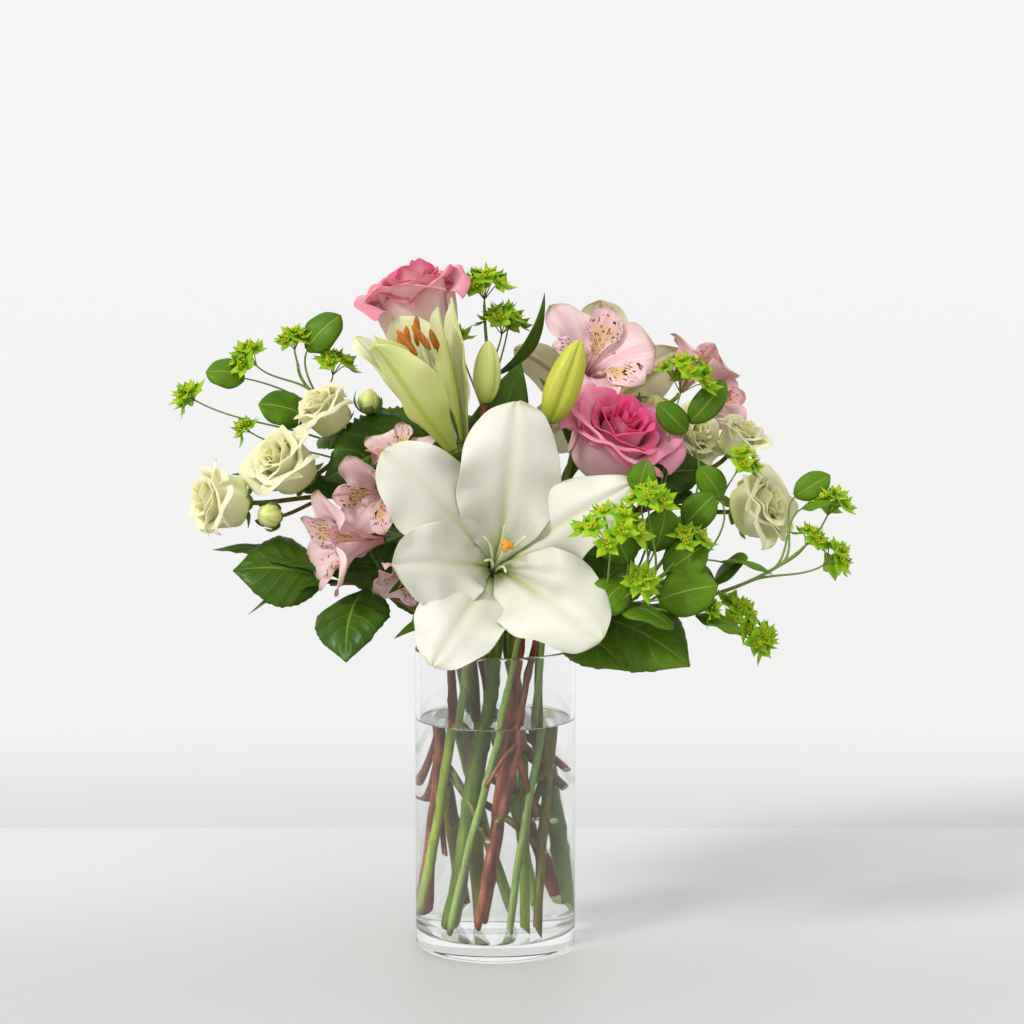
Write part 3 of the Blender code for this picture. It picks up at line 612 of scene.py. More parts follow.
FLORET = plain_look("bupleurum_floret", (0.82, 0.62, 0.03), (0.62, 0.60, 0.04), 0.6, 900)
GREEN_STEM = stem_look("green_stem", (0.07, 0.13, 0.001), (0.22, 0.31, 0.006), (0.07, 0.08, 0.002))
OLIVE_STEM = stem_look("olive_stem", (0.12, 0.11, 0.004), (0.32, 0.29, 0.03), (0.12, 0.04, 0.004))
PALE_STEM = stem_look("pale_stem", (0.20, 0.29, 0.015), (0.46, 0.52, 0.10), (0.16, 0.18, 0.01))
BARK_STEM = stem_look("bark_stem", (0.16, 0.03, 0.008), (0.44, 0.13, 0.05), (0.05, 0.016, 0.004), 0.8)
THIN_STEM = stem_look("thin_stem", (0.18, 0.30, 0.05), (0.30, 0.42, 0.10), (0.22, 0.20, 0.06))
PITH = plain_look("cut_pith", (0.66, 0.68, 0.44), (0.50, 0.54, 0.28), 0.7, 700)
FILAMENT = plain_look("lily_filament", (0.62, 0.70, 0.42), (0.74, 0.78, 0.58), 0.45, 200)
ANTHER = plain_look("anther", (0.42, 0.14, 0.02), (0.62, 0.25, 0.05), 0.8, 1400)
STIGMA = plain_look("stigma", (0.78, 0.34, 0.03), (0.62, 0.28, 0.04), 0.5, 900)
SEPAL = plain_look("sepal", (0.12, 0.22, 0.05), (0.22, 0.34, 0.09), 0.55, 120)
PALE_BUD = bud_look("pale_bud", (0.80, 0.86, 0.28), (0.90, 0.92, 0.48), (0.56, 0.68, 0.10))
GREEN_BUD = bud_look("green_bud", (0.54, 0.56, 0.05), (0.74, 0.70, 0.17), (0.24, 0.32, 0.02))
GLASS_IOR, GLASS_TINT = 1.5, (0.985, 0.992, 0.99)
WATER_IOR, WATER_TINT = 1.333, (0.99, 0.995, 0.992)
GLASS = clear_look("vase_glass", GLASS_IOR, GLASS_TINT, (0.54, 0.60, 0.59), 0.2)
WET_GLASS = clear_look("vase_glass_under_water", GLASS_IOR, GLASS_TINT, (0.80, 0.84, 0.83), 0.06)
WATER = clear_look("vase_water", WATER_IOR, WATER_TINT, (0.80, 0.84, 0.82), 0.5)
WET_WATER = clear_look("vase_water_side", WATER_IOR, WATER_TINT, (0.85, 0.88, 0.87), 0.0)


# ---------------------------------------------------------------- stems

def ring_line(ring, angle):
    """A stem's straight line in the vase: its point at the tie and its slope for each metre of height."""
    if ring == "outer":
        tie, foot = OUTER_TIE_RADIUS, BORE_RADIUS - OUTER_FOOT_CLEARANCE
    else:
        tie, foot = INNER_TIE_RADIUS, INNER_FOOT_RADIUS
    drift = math.sqrt(foot ** 2 - tie ** 2) / (TIE_HEIGHT - FLOOR_HEIGHT)
    turn = math.radians(angle) - math.atan(drift * (RIM_HEIGHT - TIE_HEIGHT) / tie)
    point = np.array((math.cos(turn) * tie, math.sin(turn) * tie, TIE_HEIGHT))
    slope = np.array((-math.sin(turn) * drift, math.cos(turn) * drift, 1.0))
    return point, slope


TAPER = 0.75                        # a flower stem's radius at its tip, as a share of its foot's
CUT_SLANT = 1.8                     # how far a cut end leans, as a share of the stem's radius
JOINT_LENGTH = 0.0024               # half length of a swollen joint
SWAY = 0.0005                       # how far a stem bends off its line


class Stem:
    """One cut stem: straight in the vase, then bending through points above the rim.

    foot is the height of its cut end above the vase's floor.
    """

    def __init__(self, ring, angle, radius, foot, places, arrive, tip_radius=None):
        self.radius = radius
        self.clear = foot
        self.tip_radius = tip_radius or radius * TAPER
        point, slope = ring_line(ring, angle)
        self.foot = point + slope * (FLOOR_HEIGHT + foot - TIE_HEIGHT)
        leave = point + slope * (RIM_HEIGHT + STEM_EXIT - TIE_HEIGHT)
        self.path = smooth_path([leave] + places, slope, arrive, 16)

    def grow(self, shape, slot, cut_slot, joints, seed):
        """The stem's own tube with swollen joints, slight bends and a slanting cut end."""
        rng = random.Random(seed)
        low = [self.foot + (self.path[0] - self.foot) * k / 60 for k in range(60)]
        path = np.concatenate((np.array(low), self.path))
        length = np.concatenate(([0.0], np.cumsum(np.linalg.norm(np.diff(path, axis=0), axis=1))))
        share = length / length[-1]
        radii = self.radius + (self.tip_radius - self.radius) * np.clip((share - 0.4) / 0.6, 0, 1)
        radii = radii * (1 + 0.035 * np.sin(share * 31 + rng.random() * 6) + 0.02 * np.sin(share * 83))
        for _ in range(joints):
            spot = rng.uniform(0.04, 0.92)
            swell = rng.uniform(0.12, 0.28)
            radii = radii * (1 + swell * np.exp(-((length - spot * length[-1]) / JOINT_LENGTH) ** 2))
        sway = np.sin(share * 15 + rng.random() * 6) + 0.4 * np.sin(share * 47 + rng.random() * 6)
        sway = SWAY * sway * window(share, -0.1, 1.0, 0.2)
        path = path + sway[:, None] * np.array((1.0, 0.6, 0.0))
        slant = min(CUT_SLANT, 0.9 * self.clear / self.radius)
        shape.tube(path, radii, 14, rng.random(), slot, slant, end_slot=cut_slot)

    def snags(self, shape, count, seed):
        """Side twigs that were cut off short on the part that stands in the water."""
        rng = random.Random(seed)
        for _ in range(count):
            start = self.foot + (self.path[0] - self.foot) * rng.uniform(0.42, 0.72)
            angle = rng.uniform(0, math.tau)
            aside = np.array((math.cos(angle), math.sin(angle), 0.0)) * BORE_RADIUS * rng.uniform(0.45, 0.8)
            end = aside + UP * (start[2] - rng.uniform(0.024, 0.05))
            thick = self.radius * rng.uniform(0.5, 0.7)
            path = smooth_path([end, start], start - end + UP * 0.004, start - end - UP * 0.01, 12)
            swell = 1 + 0.25 * np.exp(-np.linspace(9, 0, len(path)))
            shape.tube(path, thick * swell, 10, tone=rng.random(), slant=0.8, end_slot=1)

    def shoot(self, shape, place, end, arrive, radius, slot=0, rise=0.6, end_radius=None):
        """Side shoot from a share of the bent part to a point, arriving along a direction."""
        start, ahead = along(self.path, place)
        leave = ahead * rise + unit(end - start) * (1.0 - rise)
        path = smooth_path([start, end], leave, arrive, 16)
        last = end_radius or radius
        swell = 1 + 0.25 * np.exp(-np.linspace(0, 9, len(path)))
        shape.tube(path, np.linspace(radius, last, len(path)) * swell, 10, slot=slot)

    def leaf(self, shape, place, tip, width, face, slot, rng, style):
        """Leaf from a share of the bent part to a tip."""
        leaf(shape, along(self.path, place)[0], tip, width, face, slot, rng, **style)

    def leaves(self, shape, leaves, face, slot, rng, style):
        """Leaves given as (place, tip, width) that all face about the same way."""
        for place, tip, width in leaves:
            self.leaf(shape, place, tip, width, face, slot, rng, style)


# ---------------------------------------------------------------- leaves

# Outlines give half a width, as a share of the widest, at shares of the length
LEAF_OUTLINE = ((0.0, 0.05), (0.08, 0.08), (0.2, 0.5), (0.38, 0.92), (0.52, 1.0), (0.7, 0.82),
                (0.87, 0.42), (0.95, 0.16), (1.0, 0.02))
ROUND_OUTLINE = ((0.0, 0.2), (0.12, 0.62), (0.35, 0.97), (0.5, 1.0), (0.72, 0.86), (0.88, 0.55),
                 (0.96, 0.25), (1.0, 0.03))
BRACT_OUTLINE = ((0.0, 0.3), (0.25, 0.9), (0.42, 1.0), (0.62, 0.75), (0.82, 0.32), (1.0, 0.03))
LANCE_OUTLINE = ((0.0, 0.25), (0.2, 0.75), (0.4, 1.0), (0.65, 0.8), (0.85, 0.42), (1.0, 0.03))


NARROW_LEAF = {"sag": 0.1, "fold": 0.3, "edge": LANCE_OUTLINE}
ROSE_LEAF = {"sag": 0.08, "fold": 0.25, "edge": LEAF_OUTLINE, "quilt": 0.0008, "rows": 36, "columns": 19,
             "wave": 0.05, "teeth": 0.05}
SPRAY_LEAF = {"sag": 0.1, "fold": 0.25, "edge": LEAF_OUTLINE, "quilt": 0.0004, "thickness": 0.0005,
              "teeth": 0.06}
SALAL_LEAF = {"sag": 0.12, "fold": 0.18, "edge": LEAF_OUTLINE, "quilt": 0.0011, "rows": 40, "columns": 21,
              "wave": 0.05, "thickness": 0.0007, "teeth": 0.012}
ROUND_STYLE = {"fold": 0.2, "edge": ROUND_OUTLINE, "rows": 20, "wave": 0.08}
BRACT_STYLE = {"sag": -0.08, "fold": 0.25, "edge": BRACT_OUTLINE, "rows": 8, "columns": 5, "wave": 0.03,
               "thickness": 0.0004}


def leaf(shape, base, tip, width, face, slot, rng, sag, fold, edge, quilt=0.0, rows=26, columns=13,
         wave=0.06, thickness=0.0006, teeth=0.0):
    """A leaf from base to tip; face is roughly where its upper side looks.

    sag, fold, wave and teeth are shares of its length or width; quilt puffs it between the side veins.
    """
    chord = tip - base
    long = np.linalg.norm(chord)
    ahead = unit(chord)
    side = unit(np.cross(face, ahead))
    up = np.cross(ahead, side)
    v = np.linspace(0, 1, rows)[:, None]
    u = np.linspace(-1, 1, columns)[None, :]
    half = width * 0.5 * outline(edge, v)
    if teeth:
        half = half * (1 + teeth * (np.abs(u) > 0.95) * np.sign(np.sin(v * 90)))
    lean = rng.uniform(-0.05, 0.05) * long
    middle = base + chord * v[..., None] + up * (4 * v * (1 - v) * sag * long)[..., None]
    middle = middle + side * (lean * np.sin(v * math.pi))[..., None]
    away = np.abs(u)
    lift = fold * half * away ** 1.3
    droop = -0.35 * half * away ** 3.0
    phase = rng.uniform(0, 6)
    ruffle = wave * half * away ** 2 * np.sin(v * rng.uniform(9, 14) + phase + 1.5 * np.sign(u))
    puff = quilt * np.abs(np.sin((7 * v - 1.6 * away) * math.pi)) * window(away, 0.04, 1.2, 0.2)
    height = lift + droop + ruffle + puff * window(v, 0.1, 0.95, 0.12)
    grid = middle + side * (half * u)[..., None] + up * height[..., None]
    shape.sheet(grid, thickness, rng.random(), slot, 0.5)


# ---------------------------------------------------------------- lily flowers

TEPAL_OUTLINE = ((0.0, 0.15), (0.15, 0.34), (0.33, 0.74), (0.52, 0.98), (0.68, 1.0), (0.82, 0.86),
                 (0.92, 0.63), (0.975, 0.37), (1.0, 0.05))
NARROW_OUTLINE = ((0.0, 0.2), (0.2, 0.5), (0.45, 0.95), (0.6, 1.0), (0.78, 0.82), (0.92, 0.46),
                  (0.98, 0.2), (1.0, 0.04))
WRAP = 0.98                         # widest half angle of a petal round its flower, in radians
INNER_START = (NUB_RADIUS - 0.0010, TEPAL_LAYER + GAP)      # radius and height where a petal begins
OUTER_START = (NUB_RADIUS + 0.0014, GAP)


def flare(start, length, opening, reach, recurve, rows):
    """Height, radius and lean of a flower's flaring line at evenly spaced places.

    opening gives its lean in degrees at the foot and at full length, reach is the share of the length
    that the petal has, and recurve bends its tip further back.
    """
    fine = 8
    s = np.linspace(0, reach, (rows - 1) * fine + 1)
    bend = np.clip((s - 0.6) / 0.4, 0, None)
    lean = np.radians(opening[0] + (opening[1] - opening[0]) * s + recurve * bend ** 2)
    step = length * reach / (len(s) - 1)
    middle = (lean[1:] + lean[:-1]) / 2
    radius = start[0] + np.concatenate(([0.0], np.cumsum(np.sin(middle)) * step))
    height = start[1] + np.concatenate(([0.0], np.cumsum(np.cos(middle)) * step))
    return height[::fine], radius[::fine], lean[::fine]


def tepal(shape, base, axis, turn, width, line, edge, rng, slot=0, thickness=0.0012, groove=0.0013,
          roll=0.0055, ruffle=0.0026, columns=25):
    """One petal on a flower's flaring line, grooved along its middle, with rolled and ruffled edges."""
    height, radius, lean = line
    rows = len(height)
    v = np.linspace(0, 1, rows)[:, None]
    u = np.linspace(-1, 1, columns)[None, :]
    half = width * 0.5 * outline(edge, v)
    turn_half = np.minimum(half / np.maximum(radius[:, None], 1e-5), WRAP)
    angle = math.radians(turn) + turn_half * u
    phase = rng.uniform(0, 6)
    twist = rng.uniform(-0.05, 0.05)
    away = np.abs(u)
    back = groove * (1 - 0.6 * v) * np.exp(-(u / 0.09) ** 2)
    back = back - 0.45 * groove * np.exp(-((away - 0.26) / 0.14) ** 2)
    back = back + roll * away ** 2.6 * np.sin(math.pi * np.clip(v, 0, 1)) ** 1.2
    slow, quick = rng.uniform(6.5, 9.5), rng.uniform(17, 24)
    wave = np.sin(v * slow + phase + np.sign(u) * 1.7) + 0.55 * np.sin(v * quick + 2 * phase)
    back = back + ruffle * away ** 2.2 * wave * window(v, 0.15, 1.1, 0.2)
    back = back + twist * half * u * v + 0.06 * half * (away - 0.4) * np.sin(v * 4 + phase)
    lean = lean[:, None]
    out = radius[:, None] + np.cos(lean) * back
    deep = height[:, None] - np.sin(lean) * back
    grid = petal_grid(base, axis, angle, out, deep)
    shape.sheet(grid, thickness, rng.random(), slot, 0.55)


def anthered(shape, foot, axis, rng, length, spread, slots, anther, bend=0.6, radius=0.0008, upright=0.0):
    """Six filaments that carry anthers; slots are the filament's and the anther's materials."""
    for number in range(6):
        spoke = spoke_at(axis, math.radians(60 * number + rng.uniform(-14, 14)))
        wide = spread * rng.uniform(0.8, 1.2)
        long = length * rng.uniform(0.9, 1.05)
        middle = foot + axis * long * 0.55 + spoke * wide * 0.4
        points = [foot + spoke * 0.0018, middle, foot + axis * long + spoke * wide]
        path = smooth_path(points, axis, axis + spoke * bend, 8)
        shape.tube(path, np.linspace(radius, radius * 0.6, len(path)), 8, slot=slots[0])
        lie = unit(np.cross(spoke, axis) + axis * (upright + rng.uniform(-0.3, 0.3)))
        ends = [path[-1] + lie * anther * k for k in np.linspace(-0.5, 0.5, 9)]
        swell = anther * 0.12 * np.sqrt(np.maximum(1 - np.linspace(-0.97, 0.97, 9) ** 2, 0.02))
        shape.tube(ends, swell, 10, slot=slots[1])


def stigma(shape, foot, axis, head, slot):
    """Three-lobed end of a pistil from (radius, distance) points."""
    shape.turned(foot, axis, head, 30, slot=slot, lobes=3, depth=0.45)


def whorls(names, look, place, petals, length, opening, rows, seed, **waves):
    """The petals of a lily, each as its own piece.

    A petal is (turn, width, reach, recurve, inner, edge), and names are those of pieces and CAD nodes.
    """
    base, axis = place
    for number, (turn, width, reach, recurve, inner, edge) in enumerate(petals, start=1):
        start = INNER_START if inner else OUTER_START
        line = flare(start, length, opening, reach, recurve, rows)
        shape = Shape()
        tepal(shape, base, axis, turn, width, line, edge, random.Random(seed + number), **waves)
        piece, node = (f"{name}_{number}" for name in names)
        shape.make(piece, [look], [node], 1)


def make_open_lily():
    """The main open lily: six petals, six bare filaments and the pistil."""
    petals = ((84, 0.064, 0.95, 0, True, TEPAL_OUTLINE), (186, 0.052, 0.74, 25, True, TEPAL_OUTLINE),
              (316, 0.062, 0.84, 0, True, TEPAL_OUTLINE), (27, 0.046, 0.92, 0, False, NARROW_OUTLINE),
              (139, 0.054, 0.95, 0, False, TEPAL_OUTLINE), (237, 0.052, 0.84, 0, False, TEPAL_OUTLINE))
    whorls(("open_lily_petal", "open_lily_tepal"), IVORY, OPEN_LILY, petals, 0.116, (20, 95), 44, 100,
           ruffle=0.0058, columns=27)
    make_filaments(*OPEN_LILY)


def make_filaments(base, axis):
    """Six curved filaments whose anthers were removed, and the pistil with its three-lobed stigma."""
    foot = base + axis * INNER_START[1]
    for number in range(6):
        spoke = spoke_at(axis, math.radians(30 + 60 * number))
        rise = ((0.0, 0.0026), (0.036, 0.006), (0.064, 0.014))
        points = [foot + axis * high + spoke * out for high, out in rise]
        path = smooth_path(points, axis, axis * 0.8 + spoke * 0.6, 12)
        share = np.linspace(0, 1, len(path))
        radii = np.interp(share, (0, 0.9, 0.97, 1.0), (0.0011, 0.00065, 0.00085, 0.0004))
        shape = Shape()
        shape.tube(path, radii, 10)
        node = f"lily_filament_{number + 1}"
        shape.make("open_" + node, [FILAMENT], [node])
    shape = Shape()
    path = smooth_path([foot, foot + axis * 0.069], axis, axis, 16)
    radii = np.interp(np.linspace(0, 1, len(path)), (0, 0.2, 1), (0.0019, 0.0012, 0.0015))
    shape.tube(path, radii, 12)
    head = [(0.0016, 0.0665), (0.0034, 0.0705), (0.0042, 0.0735), (0.0038, 0.0755), (0.0012, 0.0765)]
    stigma(shape, foot, axis, head, 1)
    shape.make("open_lily_pistil", [FILAMENT, STIGMA], ["lily_pistil"], 1)


def make_half_open_lily():
    """The half-open lily: three outer petals, the inner cup and its stamens."""
    base, axis = HALF_OPEN_LILY
    outer = ((88, 0.034, 1.0, 0, False, NARROW_OUTLINE), (215, 0.040, 1.0, 20, False, NARROW_OUTLINE),
             (300, 0.044, 1.0, 22, False, NARROW_OUTLINE))
    whorls(("half_open_petal", "half_open_lily_tepal"), HALF_OPEN, HALF_OPEN_LILY, outer, 0.089, (23, 12),
           36, 200, roll=-0.002)
    shape = Shape()
    line = flare((0.0035, INNER_START[1]), 0.084, (18, 4), 1.0, 10, 36)
    for number, (turn, width) in enumerate(((70, 0.030), (165, 0.042), (262, 0.046))):
        rng = random.Random(210 + number)
        tepal(shape, base, axis, turn, width, line, TEPAL_OUTLINE, rng, roll=-0.003)
    anthered(shape, base + axis * 0.004, axis, random.Random(5), length=0.068, spread=0.010, slots=(1, 2),
             anther=0.020, bend=0.3, radius=0.0012, upright=3.0)
    shape.make("half_open_inner_petals", [HALF_OPEN, FILAMENT, ANTHER], ["half_open_lily_inner"],
               1)


def make_back_lily():
    """The second open lily, whose face is turned to the back."""
    base, axis = BACK_LILY
    petals = ((90, 0.044, 1.0, 0, True, TEPAL_OUTLINE), (210, 0.044, 1.0, 10, True, TEPAL_OUTLINE),
              (328, 0.042, 1.0, 0, True, TEPAL_OUTLINE), (30, 0.034, 1.0, 0, False, NARROW_OUTLINE),
              (148, 0.034, 0.95, 20, False, NARROW_OUTLINE), (268, 0.034, 1.0, 0, False, NARROW_OUTLINE))
    whorls(("back_lily_petal", "back_lily_tepal"), BLUSH, BACK_LILY, petals, 0.078, (22, 98), 36, 300,
           roll=0.004)
    shape = Shape()
    foot = base + axis * INNER_START[1]
    anthered(shape, foot, axis, random.Random(9), length=0.050, spread=0.012, slots=(0, 1), anther=0.009)
    shape.tube([foot, foot + axis * 0.03, foot + axis * 0.056], (0.0014, 0.0011, 0.0013), 12)
    head = [(0.0013, 0.0545), (0.0030, 0.057), (0.0034, 0.0595), (0.001, 0.061)]
    stigma(shape, foot, axis, head, 2)
    shape.make("back_lily_stamens", [FILAMENT, ANTHER, STIGMA], [], 1)


# ---------------------------------------------------------------- heads seated on CAD solids

SEAT_LAYER = 0.0002                 # points this close to a head's lowest one make up its base


def seat(node, axis):
    """Base point, radius and height of a CAD head along its facing direction."""
    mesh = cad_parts[node].data
    points = np.empty(len(mesh.vertices) * 3)
    mesh.vertices.foreach_get("co", points)
    points = points.reshape(-1, 3)
    along_axis = points @ axis
    low = points[along_axis < along_axis.min() + SEAT_LAYER].mean(axis=0)
    reach = points - low
    reach = reach - np.outer(reach @ axis, axis)
    return low, np.linalg.norm(reach, axis=1).max(), along_axis.max() - along_axis.min()


# ---------------------------------------------------------------- roses

def rose(shape, base, axis, radius, height, petals, rng, ragged, curl, thickness=0.0007):
    """Rose head: a furled heart, then wider petals whose lips roll outward by up to curl degrees."""
    rows, columns = 22, 25
    upright = 13                        # rows below the lip
    v = np.linspace(0, 1, rows)
    u = np.linspace(-1, 1, columns)[None, :]
    for number in range(petals):
        f = number / (petals - 1)
        belly = radius * (0.08 + 0.66 * f ** 1.15)
        throat = radius * (0.07 + 0.74 * f ** 1.25)
        tall = height * (0.86 - 0.24 * f ** 1.5) * rng.uniform(0.95, 1.04)
        lip = height * (0.12 + 0.20 * f) * rng.uniform(0.85, 1.15)
        places = (0.0, 0.22, 0.55, 1.0)
        share = np.linspace(0, 1, upright)
        swell = (0.03, 0.8 * belly / radius, belly / radius, throat / radius)
        r_low = outline(tuple(zip(places, swell)), share)
        z_low = outline(tuple(zip(places, (0.02, 0.12, 0.45, 1.0))), share)
        r_low, z_low = r_low * radius, z_low * tall
        start = math.radians(-8 + 24 * f)
        roll = math.radians((20 + (curl - 20) * f ** 0.8) * rng.uniform(0.75, 1.15))
        t = (np.arange(rows - upright) + 1) / (rows - upright)
        lean = start + roll * t[:, None] ** 1.3 * (1 + 0.35 * np.abs(u) ** 3)
        step = lip / (rows - upright)
        r_lip = throat + np.cumsum(np.sin(lean), axis=0) * step
        z_lip = tall + np.cumsum(np.cos(lean), axis=0) * step
        r = np.concatenate((np.repeat(r_low[:, None], columns, axis=1), r_lip))
        z = np.concatenate((np.repeat(z_low[:, None], columns, axis=1), z_lip))
        top = v[:, None] ** 1.5
        notch = 1 - (0.10 + 0.16 * f) * np.abs(u) ** 2.4 * top
        notch = notch + 0.09 * f * np.exp(-(u / 0.16) ** 2) * top
        wide = (2.3 - 1.2 * f ** 0.6) * (0.5 + 0.5 * np.sin(np.clip(v * 2.2, 0, 1) * math.pi / 2))[:, None]
        turn = number * GOLDEN + rng.uniform(-0.25, 0.25)
        angle = turn + wide * u
        one, two = rng.uniform(0, 6), rng.uniform(0, 6)
        wave = ragged * radius * (1.2 * np.sin(u * 2.6 + one + 2 * top) + 0.8 * np.sin(u * 7 + two)) * top
        r = r * (1 + (0.13 - 0.07 * f) * u) + wave * (0.3 + f)
        tilt = 0.10 * radius * math.sin(number * 1.7) * np.cos(angle - one) * top
        z = z * notch + 0.8 * wave * np.cos(u * 5 + one) + tilt
        shape.sheet(petal_grid(base, axis, angle, r, z), thickness, f, 0, 0.3)


def calyx(shape, base, axis, size, rng, slot):
    """Green hip and five long sepals under a rose head."""
    hip = ((0.16, -0.34), (0.30, -0.22), (0.34, -0.08), (0.30, 0.03))
    shape.turned(base, axis, [(r * size, h * size) for r, h in hip], 16, slot=slot)
    for number in range(5):
        spoke = spoke_at(axis, math.tau * number / 5 + rng.uniform(-0.3, 0.3))
        start = base + spoke * size * 0.22
        end = base + spoke * size * rng.uniform(0.9, 1.15) + axis * size * rng.uniform(-0.45, 0.35)
        leaf(shape, start, end, size * 0.42, axis, slot, rng, sag=-0.1, fold=0.2, edge=LANCE_OUTLINE,
             rows=10, columns=7, wave=0.05)


def make_roses():
    """The two large pink roses."""
    for name, axis, look, petals, seed in (("top_rose", TOP_ROSE[1], PALE_ROSE, 21, 11),
                                           ("right_rose", RIGHT_ROSE[1], PINK_ROSE, 22, 12)):
        base, radius, height = seat(name + "_flower", axis)
        rng = random.Random(seed)
        shape = Shape()
        rose(shape, base, axis, radius, height, petals, rng, ragged=0.045, curl=105)
        calyx(shape, base + axis * 0.002, axis, radius * 0.6, rng, 1)
        shape.make(name + "_bloom", [look, SEPAL], [name + "_flower"], 1)


SPRAY_AXES = {
    "left_spray": (vector(-0.5, -0.3, 0.7), vector(-0.45, -0.5, 0.5), vector(-0.87, -0.4, 0.1)),
    "right_spray": (vector(0.5, -0.55, 0.4), vector(0.4, -0.3, 0.7), vector(0.75, -0.5, 0.25)),
}


def make_spray_roses():
    """The small cream roses."""
    for name, axes in SPRAY_AXES.items():
        for number, axis in enumerate(axes, start=1):
            node = f"{name}_rose_{number}"
            base, radius, height = seat(node, axis)
            rng = random.Random(name + str(number))
            shape = Shape()
            rose(shape, base, axis, radius * 1.04, height, 19, rng, ragged=0.07, curl=110, thickness=0.0006)
            calyx(shape, base + axis * 0.0015, axis, radius * 0.8, rng, 1)
            shape.make(f"{name}_bloom_{number}", [CREAM_ROSE, SEPAL], [node], 1)


# ---------------------------------------------------------------- buds

def make_lily_buds():
    """The two closed buds of the main lily stem; slim narrows one against its CAD solid."""
    profile = ((0.25, 0.0), (0.55, 0.06), (0.82, 0.18), (0.97, 0.33), (1.0, 0.46), (0.93, 0.62),
               (0.76, 0.77), (0.52, 0.89), (0.28, 0.96), (0.1, 1.0))
    for name, axis, look, slim in (("small", SMALL_BUD[1], PALE_BUD, 1.0),
                                   ("large", LARGE_BUD[1], GREEN_BUD, 0.85)):
        base, radius, height = seat("lily_bud_" + name, axis)
        shape = Shape()
        sized = [(r * radius * slim, h * height) for r, h in profile]
        shape.turned(base, axis, sized, 48, tone=0.3, lobes=3, depth=0.16)
        shape.make(name + "_lily_bud", [look], ["lily_bud_" + name], 1)


# ---------------------------------------------------------------- alstroemeria

OBOVATE = ((0.0, 0.12), (0.25, 0.24), (0.5, 0.56), (0.72, 0.95), (0.84, 1.0), (0.94, 0.72), (0.98, 0.4),
           (1.0, 0.06))
SPATULATE = ((0.0, 0.12), (0.3, 0.2), (0.55, 0.5), (0.74, 0.95), (0.88, 0.8), (0.96, 0.4), (1.0, 0.04))

# Facing direction, depth and opening in degrees of each flower
ALSTRO_BLOOMS = {
    "left_alstroemeria": ((vector(-0.1, -0.4, 0.7), 0.032, 75), (vector(-0.35, -0.85, -0.2), 0.038, 75),
                          (vector(-0.9, -0.35, -0.08), 0.052, 60), (vector(0.1, -0.6, -0.6), 0.032, 75)),
    "right_alstroemeria": ((vector(0.3, -0.7, 0.55), 0.056, 80), (vector(0.5, 0.2, 0.8), 0.040, 70),
                           (vector(0.8, 0.2, 0.2), 0.036, 70)),
}


def make_alstroemerias():
    """Funnel flowers with three broad outer and three streaked inner petals."""
    for name, blooms in ALSTRO_BLOOMS.items():
        for number, (axis, depth, opening) in enumerate(blooms, start=1):
            base = seat(f"{name}_{number}", axis)[0]
            rng = random.Random(name + str(number))
            shape = Shape()
            first = rng.uniform(0, 120)
            for turn in (0, 120, 240):
                length = depth * rng.uniform(1.0, 1.08)
                line = flare((0.0017, 0.0008), length, (10, opening + 8), 1.0, 18, 26)
                tepal(shape, base, axis, first + turn, depth * 0.74, line, OBOVATE, rng, slot=0,
                      thickness=0.0006, groove=0.0005, roll=0.0012, ruffle=0.0048)
            for turn in (60, 180, 300):
                length = depth * rng.uniform(0.96, 1.06)
                line = flare((0.0013, 0.0014), length, (7, opening - 8), 1.0, 14, 26)
                tepal(shape, base, axis, first + turn, depth * 0.46, line, SPATULATE, rng, slot=1,
                      thickness=0.0006, groove=0.0005, roll=0.0010, ruffle=0.0022, columns=17)
            anthered(shape, base + axis * 0.002, axis, rng, length=depth * 0.72, spread=depth * 0.16,
                     slots=(2, 3), anther=0.0034, bend=1.2, radius=0.00045)
            shape.make(f"{name}_bloom_{number}", [ALSTRO_OUTER, ALSTRO_INNER, ALSTRO_OUTER, ANTHER],
                       [f"{name}_{number}"], 1)


# ---------------------------------------------------------------- stems of the flowers

def receptacle(shape, base, axis):
    """End of a lily's flower stalk under its petals."""
    profile = [(0.0028, -0.012), (0.0048, -0.006), (0.0078, -0.002), (0.0080, 0.0), (NUB_RADIUS, 0.0004),
               (NUB_RADIUS - 0.0004, TEPAL_LAYER)]
    shape.turned(base, axis, profile, 20)


def small_bud(shape, base, axis, radius, length, rng, slots):
    """Small closed rosebud in its sepals."""
    profile = ((0.25, 0.0), (0.7, 0.15), (1.0, 0.42), (0.9, 0.65), (0.55, 0.87), (0.12, 1.0))
    sized = [(r * radius, h * length) for r, h in profile]
    shape.turned(base, axis, sized, 20, slot=slots[0], lobes=5, depth=0.12)
    for number in range(5):
        spoke = spoke_at(axis, math.tau * number / 5 + rng.uniform(-0.2, 0.2))
        start = base + spoke * radius * 0.3 + axis * length * 0.02
        end = base + spoke * radius * rng.uniform(0.7, 1.5) + axis * length * rng.uniform(0.55, 1.05)
        leaf(shape, start, end, radius * 0.8, spoke, slots[1], rng, sag=0.25, fold=0.1,
             edge=LANCE_OUTLINE, rows=9, columns=5, wave=0.03)


